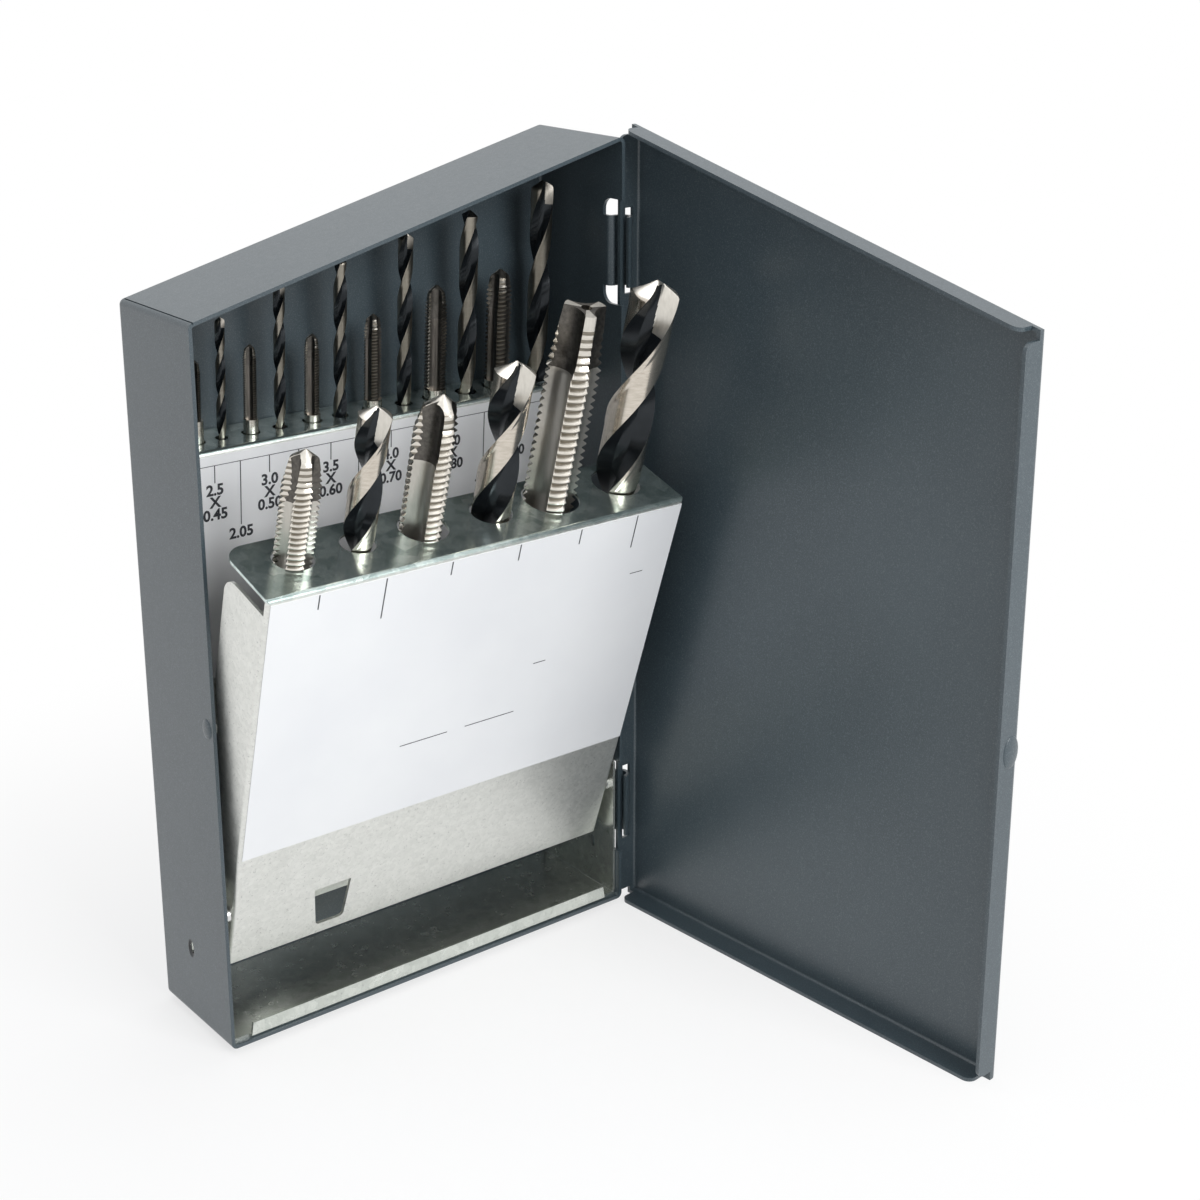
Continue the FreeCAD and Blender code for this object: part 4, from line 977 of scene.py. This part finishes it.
def rear_printing(top):
    """A line, and under every hole a tick with the thread's size and pitch or with the
    drill's diameter."""
    line = top - LINE_DROP
    marks = [rule(-LINE_HALF, LINE_HALF, line, LINE_WIDTH)]
    for tap in [tap for tap in TAPS.values() if tap.rack == "rear"]:
        x = tap.place + TICK_SHIFT
        marks.append(bar(x, line - TAP_TICK, line, TICK_WIDTH))
        for row, words in enumerate(("%.1f" % tap.size, "X", "%.2f" % tap.pitch)):
            marks.append(lettering(words, x, line - TAP_FIGURES - FIGURE_ROW * row))
    for drill in [drill for drill in DRILLS.values() if drill.rack == "rear"]:
        x = drill.place + TICK_SHIFT
        marks.append(bar(x, line - DRILL_TICK, line, TICK_WIDTH))
        marks.append(lettering(("%.2f" % drill.size).rstrip("0"), x, line - DRILL_FIGURES))
    return marks


def front_printing(top):
    """A tick under every hole, and short rules."""
    marks = []
    for x, reach in FRONT_TICKS:
        marks.append(bar(x, top - reach, top - FRONT_TICK_START, FRONT_TICK_WIDTH))
    for left, right, below in FRONT_RULES:
        marks.append(rule(left, right, top - below, FRONT_RULE_WIDTH))
    return marks


def print_labels():
    for rack_name, printing in (("rear", rear_printing), ("front", front_printing)):
        rack = RACKS[rack_name]
        mesh = join_meshes(rack_name + "_label_print", printing(rack["height"] - rack["below"]))
        mesh.transform(card_matrix(rack_name))
        new_piece(rack_name + "_label_print", mesh, rack_name + "_rack")


# ------------------------------------------------------------------ stage, light, camera

# In metres. The floor lies just under the case.
FLOOR = CAD_BOX[0][2] - 0.00005
FLOOR_HALF = 3.0
# The floor's share of plain white, and the distances from the middle between which it rises.
FLOOR_WHITE = (0.7, 1.0)
WHITE_RISE = (0.05, 0.22)


def seen_directly(tree):
    """1 for the camera and for reflections, 0 for the light that falls on the object."""
    path = tree.nodes.new("ShaderNodeLightPath")
    seen = number(tree, "MAXIMUM", path.outputs["Is Camera Ray"], path.outputs["Is Glossy Ray"])
    return number(tree, "MAXIMUM", seen, path.outputs["Is Transmission Ray"])


def build_stage():
    """A pale floor that shows the case's shadow and is as white as the background elsewhere."""
    mesh = bpy.data.meshes.new("floor")
    corners = [(x * FLOOR_HALF, y * FLOOR_HALF, FLOOR) for x, y in ((-1, -1), (1, -1), (1, 1), (-1, 1))]
    mesh.from_pydata(corners, [], [(0, 1, 2, 3)])
    floor = bpy.data.objects.new("floor", mesh)
    bpy.context.scene.collection.objects.link(floor)
    material = bpy.data.materials.new("pale_floor")
    material.use_nodes = True
    tree = material.node_tree
    shader = tree.nodes["Principled BSDF"]
    shader.inputs["Base Color"].default_value = (0.9, 0.9, 0.9, 1)
    shader.inputs["Roughness"].default_value = 0.9
    white = tree.nodes.new("ShaderNodeEmission")
    mix = tree.nodes.new("ShaderNodeMixShader")
    far = tree.nodes.new("ShaderNodeVectorMath")
    far.operation = "LENGTH"
    tree.links.new(object_place(tree), far.inputs[0])
    near_white, far_white = FLOOR_WHITE
    rise = faded(tree, far.outputs["Value"], *WHITE_RISE)
    share = number(tree, "MULTIPLY_ADD", rise, far_white - near_white, near_white)
    share = number(tree, "MULTIPLY", share, seen_directly(tree))
    tree.links.new(share, mix.inputs[0])
    tree.links.new(shader.outputs[0], mix.inputs[1])
    tree.links.new(white.outputs[0], mix.inputs[2])
    tree.links.new(mix.outputs[0], tree.nodes["Material Output"].inputs["Surface"])
    mesh.materials.append(material)


def set_world():
    """White to the camera and in reflections, and a dimmer, cooler light on the object."""
    world = bpy.data.worlds.new("studio")
    world.use_nodes = True
    tree = world.node_tree
    tree.nodes.clear()
    output = tree.nodes.new("ShaderNodeOutputWorld")
    mix = tree.nodes.new("ShaderNodeMixShader")
    seen = tree.nodes.new("ShaderNodeBackground")
    seen.inputs["Color"].default_value = (1, 1, 1, 1)
    light = tree.nodes.new("ShaderNodeBackground")
    light.inputs["Color"].default_value = (0.95, 0.97, 1.0, 1)
    light.inputs["Strength"].default_value = 0.5
    tree.links.new(seen_directly(tree), mix.inputs[0])
    tree.links.new(light.outputs[0], mix.inputs[1])
    tree.links.new(seen.outputs[0], mix.inputs[2])
    tree.links.new(mix.outputs[0], output.inputs["Surface"])
    bpy.context.scene.world = world


def add_lamp(name, place, target, size, power):
    lamp = bpy.data.lights.new(name, "AREA")
    lamp.shape = "RECTANGLE"
    lamp.size, lamp.size_y = size
    lamp.energy = power
    holder = bpy.data.objects.new(name, lamp)
    holder.location = place
    way = Vector(target) - Vector(place)
    holder.rotation_euler = way.to_track_quat("-Z", "Y").to_euler()
    bpy.context.scene.collection.objects.link(holder)


def set_lights():
    middle = (0.0, -0.02, 0.09)
    add_lamp("top_box", (0.0, 0.05, 0.75), middle, (0.5, 0.5), 1.6)
    add_lamp("front_box", (0.1, -0.75, 0.5), middle, (0.45, 0.45), 5.0)


def set_camera():
    azimuth = math.radians(-38.71)
    elevation = math.radians(17.38)
    roll = math.radians(0.06)
    distance = 0.45463
    target = Vector((0.04639, 0.0, 0.10456))
    back = Vector((math.sin(azimuth) * math.cos(elevation),
                   -math.cos(azimuth) * math.cos(elevation), math.sin(elevation)))
    right = Vector((math.cos(azimuth), math.sin(azimuth), 0))
    up = back.cross(right)
    camera = bpy.data.cameras.new("camera")
    camera.sensor_width = 36.0
    camera.lens = 60.39
    camera.shift_y = -0.09
    holder = bpy.data.objects.new("camera", camera)
    turn = Matrix((right, up, back)).transposed().to_4x4() @ Matrix.Rotation(roll, 4, "Z")
    holder.matrix_world = Matrix.Translation(target + back * distance) @ turn
    bpy.context.scene.collection.objects.link(holder)
    bpy.context.scene.camera = holder


# ------------------------------------------------------------------ whole scene

FINISHES = {"case_body": CASE_PAINT, "case_lid": LID_PAINT, "base_pan": PAN,
            "front_rack": FRONT_SHEET, "rear_rack": REAR_SHEET, "front_tap_stop": SHEET,
            "front_drill_stop": SHEET, "rear_tool_stop": SHEET, "front_label": FRONT_CARD,
            "rear_label": REAR_CARD, "front_pivot_left": PIN, "front_pivot_right": PIN,
            "rear_pivot_left": PIN, "rear_pivot_right": PIN}

for node_name, finish in FINISHES.items():
    finish_node(node_name, finish)
build_taps()
build_drills()
print_labels()
build_stage()
set_world()
set_lights()
set_camera()
bpy.context.scene.view_settings.view_transform = "Standard"
